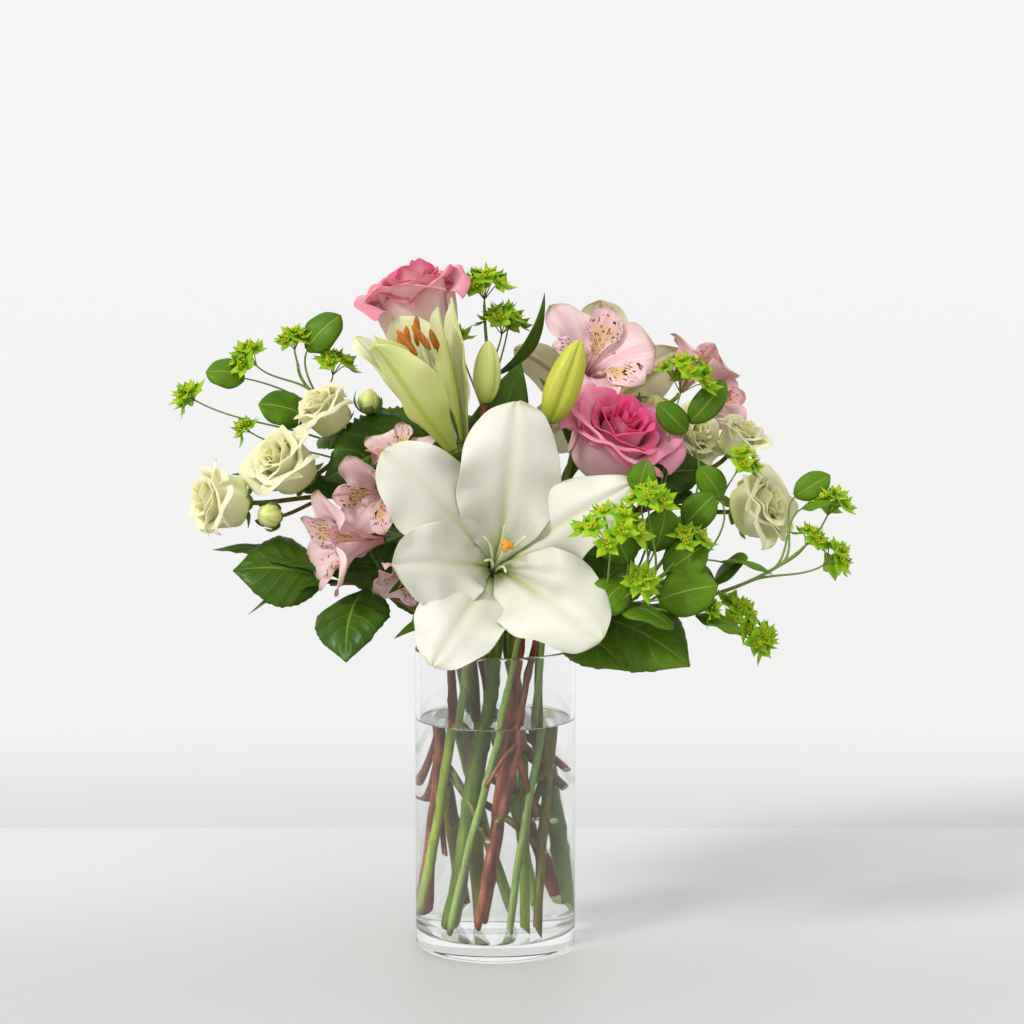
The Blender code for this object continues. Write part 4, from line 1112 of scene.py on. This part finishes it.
def make_lily_stem():
    """Main lily stem with its flower stalks and narrow leaves, each (place on the stem, tip, width)."""
    half_base, half_axis = HALF_OPEN_LILY
    open_base, open_axis = OPEN_LILY
    stem = Stem("inner", 272, 0.0043, 0.004, [rim(-6, 2, 45), rim(-16, -4, 92), half_base], half_axis)
    shape = Shape()
    stem.grow(shape, 0, 1, 6, 21)
    stem.shoot(shape, 0.16, open_base - open_axis * 0.004, open_axis, 0.0032)
    receptacle(shape, open_base, open_axis)
    receptacle(shape, half_base, half_axis)
    stem.shoot(shape, 0.72, *SMALL_BUD, 0.0022, slot=2)
    stem.shoot(shape, 0.6, *LARGE_BUD, 0.0024, slot=2)
    leaves = ((0.72, rim(-34, -34, 152), 0.010), (0.66, rim(16, 12, 178), 0.040),
              (0.6, rim(28, -10, 150), 0.022), (0.3, rim(-28, 30, 92), 0.016),
              (0.14, rim(-44, -8, 46), 0.024), (0.2, rim(34, 4, 58), 0.024))
    stem.leaves(shape, leaves, vector(0.0, -0.8, 0.5), 3, random.Random(22), NARROW_LEAF)
    shape.make("lily_stalk", [GREEN_STEM, PITH, BARK_STEM, LANCE], ["lily_stem"])


def make_back_lily_stem():
    """Second lily stem, a straight leaf, and a long leaf in two parts that curls over at its tip."""
    base, axis = BACK_LILY
    stem = Stem("outer", 75, 0.0040, 0.012, [rim(22, 40, 60), rim(50, 37, 112), base], axis)
    shape = Shape()
    stem.grow(shape, 0, 1, 5, 23)
    receptacle(shape, base, axis)
    rng = random.Random(24)
    stem.leaf(shape, 0.55, rim(8, 30, 178), 0.013, vector(-0.4, -0.8, 0.3), 2, rng,
              {**NARROW_LEAF, "sag": 0.05})
    leaf(shape, rim(0, 28, 170), rim(31, 10, 222), 0.011, vector(0.6, -0.6, 0.2), 2, rng, sag=0.16,
         fold=0.5, edge=LANCE_OUTLINE)
    stem.leaf(shape, 0.35, rim(34, 86, 118), 0.020, vector(0, 0.6, 0.8), 2, rng,
              {**NARROW_LEAF, "sag": 0.2})
    shape.make("back_lily_stalk", [GREEN_STEM, PITH, LANCE], ["back_lily_stem"])


def make_rose_stems():
    """Stems of the two large roses, with their notched leaves."""
    top = Stem("inner", 196, 0.0034, 0.006, [rim(-20, 16, 70), rim(-34, 22, 135), TOP_ROSE[0]], TOP_ROSE[1])
    top_leaves = ((0.66, rim(-106, -18, 106), 0.056), (0.7, rim(-92, 34, 128), 0.034),
                  (0.6, rim(-2, 60, 140), 0.030))
    right = Stem("inner", 340, 0.0036, 0.015, [rim(34, -6, 48), rim(54, -2, 90), RIGHT_ROSE[0]],
                 RIGHT_ROSE[1])
    right_leaves = ((0.8, rim(137, -10, 112), 0.036), (0.6, rim(92, 30, 84), 0.032),
                    (0.45, rim(92, -26, 66), 0.036), (0.5, rim(22, 14, 96), 0.034))
    for name, stem, leaves, look, seed in (("top_rose", top, top_leaves, OLIVE_STEM, 25),
                                           ("right_rose", right, right_leaves, BARK_STEM, 26)):
        shape = Shape()
        stem.grow(shape, 0, 1, 5, seed)
        stem.snags(shape, 2, seed)
        stem.leaves(shape, leaves, vector(-0.1, -0.95, 0.3), 2, random.Random(seed), ROSE_LEAF)
        shape.make(name + "_stalk", [look, PITH, SALAL], [name + "_stem"])


def make_spray_stems():
    """Branched stems of the cream spray roses, with their buds and small leaves.

    Flowers are (place on the stem, base), buds (place, base, axis, radius, length), leaves (place, tip).
    """
    left = ((1.0, rim(-98, 5, 137)), (0.72, rim(-121, -8, 107)), (0.5, rim(-154, -14, 92)))
    left_buds = ((0.85, rim(-80, 8, 146), vector(0.1, -0.1, 1.0), 0.0075, 0.016),
                 (0.55, rim(-134, -20, 84), vector(-0.4, -0.7, 0.1), 0.008, 0.018))
    right = ((1.0, rim(115, 20, 125)), (0.66, rim(147, 8, 121)), (0.55, rim(152, -2, 86)))
    right_buds = ((0.9, rim(101, 26, 142), vector(0.0, -0.4, 0.9), 0.0085, 0.017),)
    stems = {"left_spray": Stem("outer", 178, 0.0028, 0.008, [rim(-66, 3, 58), rim(-90, 8, 110), left[0][1]],
                                SPRAY_AXES["left_spray"][0]),
             "right_spray": Stem("outer", 20, 0.0028, 0.005, [rim(70, 14, 55), rim(98, 16, 95), right[0][1]],
                                 SPRAY_AXES["right_spray"][0])}
    leaves = {"left_spray": ((0.35, rim(-120, 22, 70)), (0.62, rim(-70, -24, 116)),
                             (0.8, rim(-112, 30, 130)), (0.5, rim(-166, 8, 108))),
              "right_spray": ((0.4, rim(108, 40, 70)), (0.6, rim(128, -20, 92)), (0.8, rim(140, 34, 110)))}
    for name, blooms, buds in (("left_spray", left, left_buds), ("right_spray", right, right_buds)):
        stem = stems[name]
        rng = random.Random(name)
        shape = Shape()
        stem.grow(shape, 0, 1, 5, name)
        stem.snags(shape, 2, name)
        for (place, base), axis in list(zip(blooms, SPRAY_AXES[name]))[1:]:
            stem.shoot(shape, place, base, axis, 0.0015)
        for place, base, axis, radius, length in buds:
            stem.shoot(shape, place, base + axis * 0.001, axis, 0.0012)
            small_bud(shape, base, axis, radius, length, rng, (2, 3))
        for place, tip in leaves[name]:
            stem.leaf(shape, place, tip, 0.020, vector(0, -0.6, 0.8), 4, rng, SPRAY_LEAF)
        shape.make(name + "_stalk", [OLIVE_STEM, PITH, PALE_BUD, SEPAL, LANCE], [name + "_stem"])


def make_alstroemeria_stems():
    """Branched stems of the alstroemeria, with their narrow leaves.

    Flowers are (place on the stem, base), leaves (place, tip, width).
    """
    left = ((1.0, rim(-56, -20, 108)), (0.7, rim(-66, -15, 100)), (0.6, rim(-66, -37, 71)),
            (0.5, rim(-56, -33, 62)))
    right = ((1.0, rim(56, 36, 164)), (0.8, rim(118, 36, 158)), (0.7, rim(127, 44, 146)))
    left_stem = Stem("outer", 236, 0.0026, 0.010, [rim(-36, -22, 50), rim(-50, -16, 85), left[0][1]],
                     ALSTRO_BLOOMS["left_alstroemeria"][0][0])
    right_stem = Stem("inner", 48, 0.0026, 0.003, [rim(36, 22, 70), rim(52, 30, 130), right[0][1]],
                      ALSTRO_BLOOMS["right_alstroemeria"][0][0])
    leaves = {"left_alstroemeria": ((0.1, rim(-60, -62, 14), 0.012), (0.16, rim(-42, -60, 8), 0.014),
                                    (0.3, rim(-64, -52, 40), 0.012), (0.34, rim(-50, -66, 22), 0.012)),
              "right_alstroemeria": ((0.5, rim(84, 44, 140), 0.012), (0.6, rim(28, 52, 168), 0.014),
                                     (0.7, rim(98, 20, 156), 0.010))}
    for name, stem, blooms in (("left_alstroemeria", left_stem, left),
                               ("right_alstroemeria", right_stem, right)):
        rng = random.Random(name)
        shape = Shape()
        stem.grow(shape, 0, 1, 3, name)
        for (place, base), bloom in list(zip(blooms, ALSTRO_BLOOMS[name]))[1:]:
            stem.shoot(shape, place, base, bloom[0], 0.0014, slot=2, rise=0.3)
        stem.leaves(shape, leaves[name], vector(0.3, -0.3, 0.9), 3, rng, {**NARROW_LEAF, "sag": 0.14})
        shape.make(name + "_stalk", [PALE_STEM, PITH, THIN_STEM, LANCE], [name + "_stem"])


# ---------------------------------------------------------------- bupleurum

FRONT = vector(0.0, -0.8, 0.6)
HIGH = vector(0.0, -0.3, 1.0)
STAR_REACH = 0.0105                 # length of a bract in a flower cluster
FLORET_SIZE = 0.0006
RAYS_PER_METRE = 190                # number of rays for each metre of a cluster's width
RAY_LEAN = 78                       # degrees between the middle ray and the outermost
SHOOT_RADIUS, SHOOT_TIP = 0.0008, 0.0005
BUPLEURUM_RADIUS, BUPLEURUM_TIP = 0.0022, 0.0009


def umbel(shape, base, axis, size, rng):
    """Rays that spread from a point, each with a star of bracts round a few yellow florets."""
    count = round(RAYS_PER_METRE * size)
    spread = max(size / 2 - STAR_REACH * 0.7, 0.003)
    for number in range(count):
        lean = math.radians(RAY_LEAN * math.sqrt((number + 0.3) / count))
        spoke = spoke_at(axis, number * GOLDEN)
        centre = base + spoke * math.sin(lean) * spread + axis * (math.cos(lean) * spread + size * 0.12)
        middle = base * 0.4 + centre * 0.6 + axis * size * 0.03
        shape.tube([base, middle, centre], 0.00035, 6, slot=3)
        facing = unit(axis + spoke * lean * 0.9 + FRONT * 0.3)
        star(shape, centre, facing, STAR_REACH * rng.uniform(0.8, 1.15), rng)


def star(shape, centre, axis, reach, rng):
    """Two whorls of pointed bracts under a cluster of florets."""
    first = rng.uniform(0, 6)
    for number in range(9):
        outer = number < 5
        angle = first + math.tau * number / (5 if outer else 4) + rng.uniform(-0.2, 0.2)
        spoke = spoke_at(axis, angle)
        out, rise = (1.0, rng.uniform(0.05, 0.35)) if outer else (0.45, rng.uniform(0.4, 0.6))
        tip = centre + (spoke * out + axis * rise) * reach * rng.uniform(0.85, 1.1)
        width = reach * (0.62 if outer else 0.36)
        leaf(shape, centre, tip, width, axis, 1, rng, **BRACT_STYLE)
    ball = [(r * FLORET_SIZE, h * FLORET_SIZE) for r, h in ((0.4, -0.8), (1.0, 0.0), (0.5, 0.8))]
    for number in range(8):
        off = reach * 0.34 * math.sqrt(number / 8)
        place = centre + spoke_at(axis, number * GOLDEN) * off + axis * reach * 0.26
        shape.tube([centre, place], 0.0002, 4, slot=2)
        shape.turned(place, axis, ball, 6, slot=2)


def turned_face(face, rng):
    """A leaf's facing direction, turned a little at random."""
    return unit(face + np.array([rng.uniform(-0.45, 0.45) for _ in range(3)]))


def make_bupleurum(name, ring, angle, foot, places, arrive, umbels, leaves, stalked, seed):
    """One branch with its flower clusters and its round leaves, some of them on stalks of their own.

    umbels are (place on the stem, base, size), leaves (place, tip, width, face) and stalked ones
    (place, base, tip, width, face).
    """
    stem = Stem(ring, angle, BUPLEURUM_RADIUS, foot, places, arrive, BUPLEURUM_TIP)
    rng = random.Random(seed)
    shape = Shape()
    stem.grow(shape, 3, 4, 4, seed)
    for place, base, size in umbels:
        axis = unit(base - along(stem.path, place)[0] + np.array((0, 0, 0.02)))
        stem.shoot(shape, place, base, axis, SHOOT_RADIUS, 3, end_radius=SHOOT_TIP)
        umbel(shape, base, axis, size, rng)
    for place, tip, width, face in leaves:
        stem.leaf(shape, place, tip, width, turned_face(face, rng), 0, rng, {**ROUND_STYLE, "sag": 0.1})
    for place, base, tip, width, face in stalked:
        joint = base + (tip - base) * 0.1
        stem.shoot(shape, place, joint, unit(tip - base), SHOOT_RADIUS, 3, end_radius=SHOOT_TIP)
        leaf(shape, base, tip, width, turned_face(face, rng), 0, rng, sag=0.12, **ROUND_STYLE)
    shape.make(name + "_sprig", [ROUND_LEAF, BRACT, FLORET, THIN_STEM, PITH], [name])


def make_bupleurums():
    """The four yellow-green filler branches."""
    make_bupleurum("bupleurum_left", "outer", 150, 0.007,
                   [rim(-66, 30, 80), rim(-100, 34, 140), rim(-126, 30, 176)], HIGH,
                   ((1.0, rim(-128, 30, 186), 0.030), (0.85, rim(-152, 28, 176), 0.034),
                    (0.75, rim(-104, 32, 170), 0.034), (0.5, rim(-190, 20, 154), 0.026),
                    (0.45, rim(-156, 22, 134), 0.022)),
                   ((0.3, rim(-100, 44, 110), 0.028, HIGH),),
                   ((0.8, rim(-120, 28, 186), rim(-98, 26, 208), 0.024, FRONT),
                    (0.62, rim(-160, 28, 168), rim(-184, 24, 172), 0.021, FRONT),
                    (0.55, rim(-120, 26, 144), rim(-150, 18, 152), 0.026, FRONT)), 41)
    make_bupleurum("bupleurum_top", "inner", 118, 0.011,
                   [rim(-4, 34, 90), rim(-4, 38, 160), rim(-7, 34, 214)], HIGH,
                   ((1.0, rim(-7, 33, 218), 0.040), (0.7, rim(4, 34, 196), 0.038),
                    (0.6, rim(8, 60, 200), 0.022), (0.5, rim(-24, 66, 190), 0.022)),
                   ((0.45, rim(14, 14, 160), 0.028, FRONT), (0.3, rim(-30, 60, 130), 0.026, HIGH)), (), 42)
    make_bupleurum("bupleurum_front", "outer", 296, 0.006,
                   [rim(42, -48, 20), rim(78, -80, 40), rim(108, -82, 66)], vector(0.5, 0.0, 1.0),
                   ((0.5, rim(68, -102, 73), 0.050), (0.45, rim(84, -104, 52), 0.024),
                    (0.8, rim(90, -96, 94), 0.034), (1.0, rim(113, -84, 68), 0.034),
                    (0.6, rim(124, -84, 34), 0.018)),
                   (),
                   ((0.6, rim(98, -82, 40), rim(131, -92, 50), 0.030, FRONT),
                    (0.4, rim(72, -76, 36), rim(105, -94, 24), 0.028, HIGH),
                    (0.9, rim(136, -58, 60), rim(166, -66, 53), 0.020, HIGH),
                    (0.7, rim(101, -78, 56), rim(125, -86, 74), 0.027, FRONT),
                    (0.9, rim(114, -62, 82), rim(131, -66, 101), 0.021, FRONT),
                    (0.6, rim(95, -74, 68), rim(101, -86, 95), 0.025, FRONT),
                    (0.75, rim(87, -80, 98), rim(90, -88, 123), 0.021, FRONT),
                    (0.5, rim(76, -84, 50), rim(60, -92, 34), 0.024, FRONT),
                    (0.8, rim(120, -76, 30), rim(146, -84, 20), 0.022, HIGH),
                    (0.5, rim(80, -70, 60), rim(66, -72, 92), 0.026, FRONT),
                    (0.7, rim(104, -60, 66), rim(124, -52, 88), 0.024, FRONT),
                    (0.6, rim(96, -60, 44), rim(118, -50, 30), 0.024, FRONT),
                    (0.8, rim(110, -56, 52), rim(134, -48, 46), 0.024, FRONT)), 43)
    make_bupleurum("bupleurum_right", "outer", 352, 0.009,
                   [rim(70, -16, 22), rim(140, -28, 38), rim(186, -28, 62)], vector(0.8, 0.0, 0.6),
                   ((1.0, rim(206, -16, 84), 0.036), (0.85, rim(192, -22, 66), 0.028),
                    (0.78, rim(204, -20, 54), 0.034), (0.5, rim(141, -48, 24), 0.036),
                    (0.56, rim(156, -46, 12), 0.030), (0.4, rim(147, -36, 112), 0.034),
                    (0.3, rim(114, -22, 160), 0.046)),
                   (),
                   ((0.93, rim(186, -14, 96), rim(208, -12, 109), 0.017, FRONT),
                    (0.89, rim(190, -20, 89), rim(208, -26, 93), 0.012, HIGH),
                    (0.5, rim(134, -34, 44), rim(152, -60, 62), 0.024, HIGH),
                    (0.42, rim(138, -36, 96), rim(124, -40, 116), 0.018, FRONT),
                    (0.35, rim(118, -20, 136), rim(100, -22, 154), 0.017, FRONT),
                    (0.35, rim(120, -18, 142), rim(142, -16, 168), 0.018, FRONT)), 44)


# ---------------------------------------------------------------- dark foliage

SALAL_RADIUS, SALAL_TIP = 0.0026, 0.0014


def make_salals():
    """The three dark broad-leaved foliage branches."""
    low = vector(0.0, -0.2, 1.0)
    make_salal("salal_left", SALAL, 207, 0.004, [rim(-52, -24, 28), rim(-80, -26, 42), rim(-102, -20, 42)],
               vector(-1, 0, 0),
               ((0.97, rim(-160, -36, 52), 0.050, FRONT),
                (0.64, rim(-88, -76, 2), 0.048, vector(-0.3, -0.8, 0.3)),
                (0.85, rim(-176, -10, 62), 0.026, low), (0.76, rim(-150, -42, 26), 0.010, low),
                (0.4, rim(-86, -12, 76), 0.038, FRONT), (0.5, rim(-116, -8, 78), 0.034, FRONT)), 51)
    make_salal("salal_back", SALAL, 116, 0.013, [rim(-36, 44, 50), rim(-60, 56, 100)],
               vector(-0.4, 0.2, 1.0),
               ((1.0, rim(-80, 64, 150), 0.042, vector(-0.3, 0.9, 0.3)),
                (0.6, rim(-24, 88, 96), 0.040, vector(0.1, 0.8, 0.6)), (0.5, rim(-96, 60, 70), 0.040, low),
                (0.3, rim(-20, 92, 44), 0.040, vector(0.1, 0.6, 0.8)),
                (0.25, rim(-74, 18, 34), 0.046, FRONT), (0.8, rim(-18, 46, 132), 0.036, FRONT)), 52)
    make_salal("salal_right", BROAD, 322, 0.012, [rim(40, -34, 14), rim(66, -44, 26)],
               vector(1, -0.3, 0.2),
               ((0.9, rim(116, -80, 0), 0.052, FRONT), (0.5, rim(78, -84, -2), 0.038, FRONT),
                (0.7, rim(98, -8, 40), 0.034, low), (0.8, rim(84, -62, 66), 0.040, FRONT),
                (0.6, rim(52, -40, 74), 0.040, FRONT)), 53)


def make_salal(name, look, angle, foot, places, arrive, leaves, seed):
    """One branch with its broad leaves, each (place on the stem, tip, width, face)."""
    stem = Stem("outer", angle, SALAL_RADIUS, foot, places, arrive, SALAL_TIP)
    rng = random.Random(seed)
    shape = Shape()
    stem.grow(shape, 0, 1, 6, seed)
    stem.snags(shape, 3, seed)
    for place, tip, width, face in leaves:
        stem.leaf(shape, place, tip, width, face, 2, rng, SALAL_LEAF)
    shape.make(name + "_branch", [BARK_STEM, PITH, look], [name])


# ---------------------------------------------------------------- vase and water

def arc(centre, radius, start, end, steps):
    """Points of a circular arc in the (radius, height) plane, angles in degrees."""
    turns = np.radians(np.linspace(start, end, steps))
    return [(centre[0] + radius * math.cos(t), centre[1] + radius * math.sin(t)) for t in turns]


HOLD = 0.0007                       # straight run that keeps a rounding's shading off the wall beside it
ROUNDING = 0.003                    # radius of the vase's foot and of the corner round its floor
DISH = ((0.6, 0.0004), (0.0, 0.0006))   # share of the bore and how far the floor lies lower there
CENTRE = 0.001                      # radius of the flat on the axis that closes a profile
GLASS_FOOT = 0.002                  # the vase's hollow underside lies below this height
GLASS_SIDES = 192
EMBED = 0.0001                      # how far the water reaches into the glass, so no air lies between


def make_vase():
    """Straight glass cylinder with a thick floor, a rounded foot, a hollow base and a fire-polished rim."""
    lip = (VASE_RADIUS - BORE_RADIUS) / 2
    inside = BORE_RADIUS - ROUNDING
    profile = [(CENTRE, 0.0014), (VASE_RADIUS * 0.5, 0.0012), (VASE_RADIUS * 0.8, 0.0007)]
    profile += arc((VASE_RADIUS - ROUNDING, ROUNDING + 0.0001), ROUNDING, -100, 0, 11)
    for height in (ROUNDING + HOLD, RIM_HEIGHT / 2, RIM_HEIGHT - lip - HOLD):
        profile.append((VASE_RADIUS, height))
    profile += arc((VASE_RADIUS - lip, RIM_HEIGHT - lip), lip, 0, 180, 13)
    for height in (RIM_HEIGHT - lip - HOLD, WATER_LEVEL, RIM_HEIGHT / 3, FLOOR_HEIGHT + ROUNDING + HOLD):
        profile.append((BORE_RADIUS, height))
    profile += arc((inside, FLOOR_HEIGHT + ROUNDING), ROUNDING, 0, -90, 9)
    profile.append((inside - HOLD, FLOOR_HEIGHT))
    profile += [(max(BORE_RADIUS * share, CENTRE), FLOOR_HEIGHT - low) for share, low in DISH]
    shape = Shape()
    shape.turned(np.zeros(3), UP, profile, GLASS_SIDES,
                 wet=lambda r, z: r < BORE_RADIUS + GAP and GLASS_FOOT < z < WATER_LEVEL)
    shape.make("glass_vase", [GLASS, WET_GLASS], ["vase"])


def make_water():
    """Water with a raised edge where it meets the glass; it reaches just into the wall."""
    radius = BORE_RADIUS + EMBED
    inside = BORE_RADIUS - ROUNDING
    profile = [(max(BORE_RADIUS * share, CENTRE), FLOOR_HEIGHT - low - EMBED) for share, low in DISH[::-1]]
    profile.append((inside - HOLD, FLOOR_HEIGHT - EMBED))
    profile += arc((inside, FLOOR_HEIGHT + ROUNDING), ROUNDING + EMBED, -90, 0, 9)
    profile += [(radius, FLOOR_HEIGHT + ROUNDING + HOLD), (radius, WATER_LEVEL / 2)]
    edge = ((0.0, 0.0), (0.0, 0.0009), (0.0, 0.0010), (0.0003, 0.0006), (0.0008, 0.0002), (0.0015, 0.0),
            (0.0022, 0.0))
    profile += [(radius - inward, WATER_LEVEL + rise) for inward, rise in edge]
    profile += [(radius * 0.5, WATER_LEVEL), (CENTRE, WATER_LEVEL)]
    shape = Shape()
    shape.turned(np.zeros(3), UP, profile, GLASS_SIDES, wet=lambda r, z: z < WATER_LEVEL)
    shape.make("water_body", [WATER, WET_WATER], ["water"])


# ---------------------------------------------------------------- stage, light and camera

TABLE_BACK = 0.303                  # the straight back edge of the table behind the vase
FLOOR_REACH = 40.0
FLOOR_THICKNESS = 0.04
SURROUNDINGS = (0.915, 0.925)       # brightness below and above the horizon
FILL_SHARES = (0.84, 1.30)          # how much of the surroundings behind and in front lights matt surfaces
KEY_STRENGTH = 1.7
KEY_SPREAD = 12                     # degrees, which softens the edges of shadows
KEY_DIRECTION = vector(0.66, 0.52, -0.62)
KEY_COLOUR = (1.0, 0.985, 0.96)
LENS, SENSOR = 72.8, 36             # mm
CAMERA_PLACE = (0.0106, -1.2945, 0.388)
CAMERA_TILT = 4.97                  # degrees down
VIEW_GAMMA = 0.88
LIGHT_BOUNCES = 32                  # enough to see through glass, water and glass again


def grey(level):
    """A colour without a hue."""
    return (level, level, level)


def make_floor():
    """Pale satin table top, darker at the front by painted shade, that ends behind the vase; beyond it a
    studio sweep, darker near the table's edge by painted shade.
    """
    look = Look("floor")
    back = look.axes("Object")[1]
    table = look.mix(look.spread(look.noise(3, 2), 0.3, 0.7), grey(0.68), grey(0.70))
    # painted shade: the table top darkens toward the front, as if less light reached it there
    table = look.mix(look.spread(back, -0.12, 0.2, 0.7, 0.0), table, grey(0.55))
    # painted shade: the sweep is darker next to the table's back edge and brightens toward the horizon
    sweep = look.mix(look.spread(back, 0.3, 0.75), grey(0.64), grey(0.728))
    edge = look.math('GREATER_THAN', back, TABLE_BACK)
    look.finish(look.mix(edge, table, sweep), 0.5)
    mesh = bpy.data.meshes.new("floor")
    corners = [(x * FLOOR_REACH, y * FLOOR_REACH) for x, y in ((-1, -1), (1, -1), (1, 1), (-1, 1))]
    points = [(x, y, z) for z in (0.0, -FLOOR_THICKNESS) for x, y in corners]
    sides = [(k, k + 4, (k + 1) % 4 + 4, (k + 1) % 4) for k in range(4)]
    mesh.from_pydata(points, [], [(0, 1, 2, 3), (7, 6, 5, 4)] + sides)
    mesh.materials.append(look.material)
    floor = bpy.data.objects.new("floor", mesh)
    bpy.context.scene.collection.objects.link(floor)


def make_light():
    """High-key surroundings with a soft key light from the front left."""
    world = bpy.data.worlds.new("studio")
    bpy.context.scene.world = world
    world.use_nodes = True
    nodes = Nodes(world.node_tree)
    axes = nodes.axes("Generated")
    level = nodes.spread(axes[2], -0.02, 0.12, *SURROUNDINGS)
    fill = nodes.times(level, nodes.spread(axes[1], 0.3, -0.7, *FILL_SHARES))
    pick = nodes.node("ShaderNodeMix")
    is_diffuse = nodes.node("ShaderNodeLightPath").outputs["Is Diffuse Ray"]
    for place, source in ((0, is_diffuse), (2, level), (3, fill)):
        nodes.link(source, pick.inputs[place])
    background = world.node_tree.nodes["Background"]
    nodes.link(pick.outputs[0], background.inputs["Strength"])
    background.inputs["Color"].default_value = (*grey(1.0), 1.0)
    key = bpy.data.lights.new("key", 'SUN')
    key.energy = KEY_STRENGTH
    key.angle = math.radians(KEY_SPREAD)
    key.color = KEY_COLOUR
    lamp = bpy.data.objects.new("key", key)
    lamp.rotation_euler = Vector(KEY_DIRECTION.tolist()).to_track_quat('-Z', 'Y').to_euler()
    bpy.context.scene.collection.objects.link(lamp)


def make_camera():
    """Camera at the front, a little above the flowers' middle, tilted down."""
    data = bpy.data.cameras.new("camera")
    data.lens = LENS
    data.sensor_width = SENSOR
    camera = bpy.data.objects.new("camera", data)
    camera.location = CAMERA_PLACE
    camera.rotation_euler = (math.radians(90 - CAMERA_TILT), 0.0, 0.0)
    bpy.context.scene.collection.objects.link(camera)
    bpy.context.scene.camera = camera


def main():
    """Build every piece round the frame."""
    for build in (make_camera, make_light, make_floor, make_vase, make_water, make_open_lily,
                  make_half_open_lily, make_back_lily, make_roses, make_spray_roses, make_lily_buds,
                  make_alstroemerias, make_lily_stem, make_back_lily_stem, make_rose_stems,
                  make_spray_stems, make_alstroemeria_stems, make_bupleurums, make_salals):
        build()
    scene = bpy.context.scene
    scene.view_settings.view_transform = 'Standard'
    scene.view_settings.gamma = VIEW_GAMMA
    scene.cycles.max_bounces = LIGHT_BOUNCES
    scene.cycles.transmission_bounces = LIGHT_BOUNCES
    scene.cycles.transparent_max_bounces = LIGHT_BOUNCES
    scene.cycles.glossy_bounces = LIGHT_BOUNCES // 2


main()
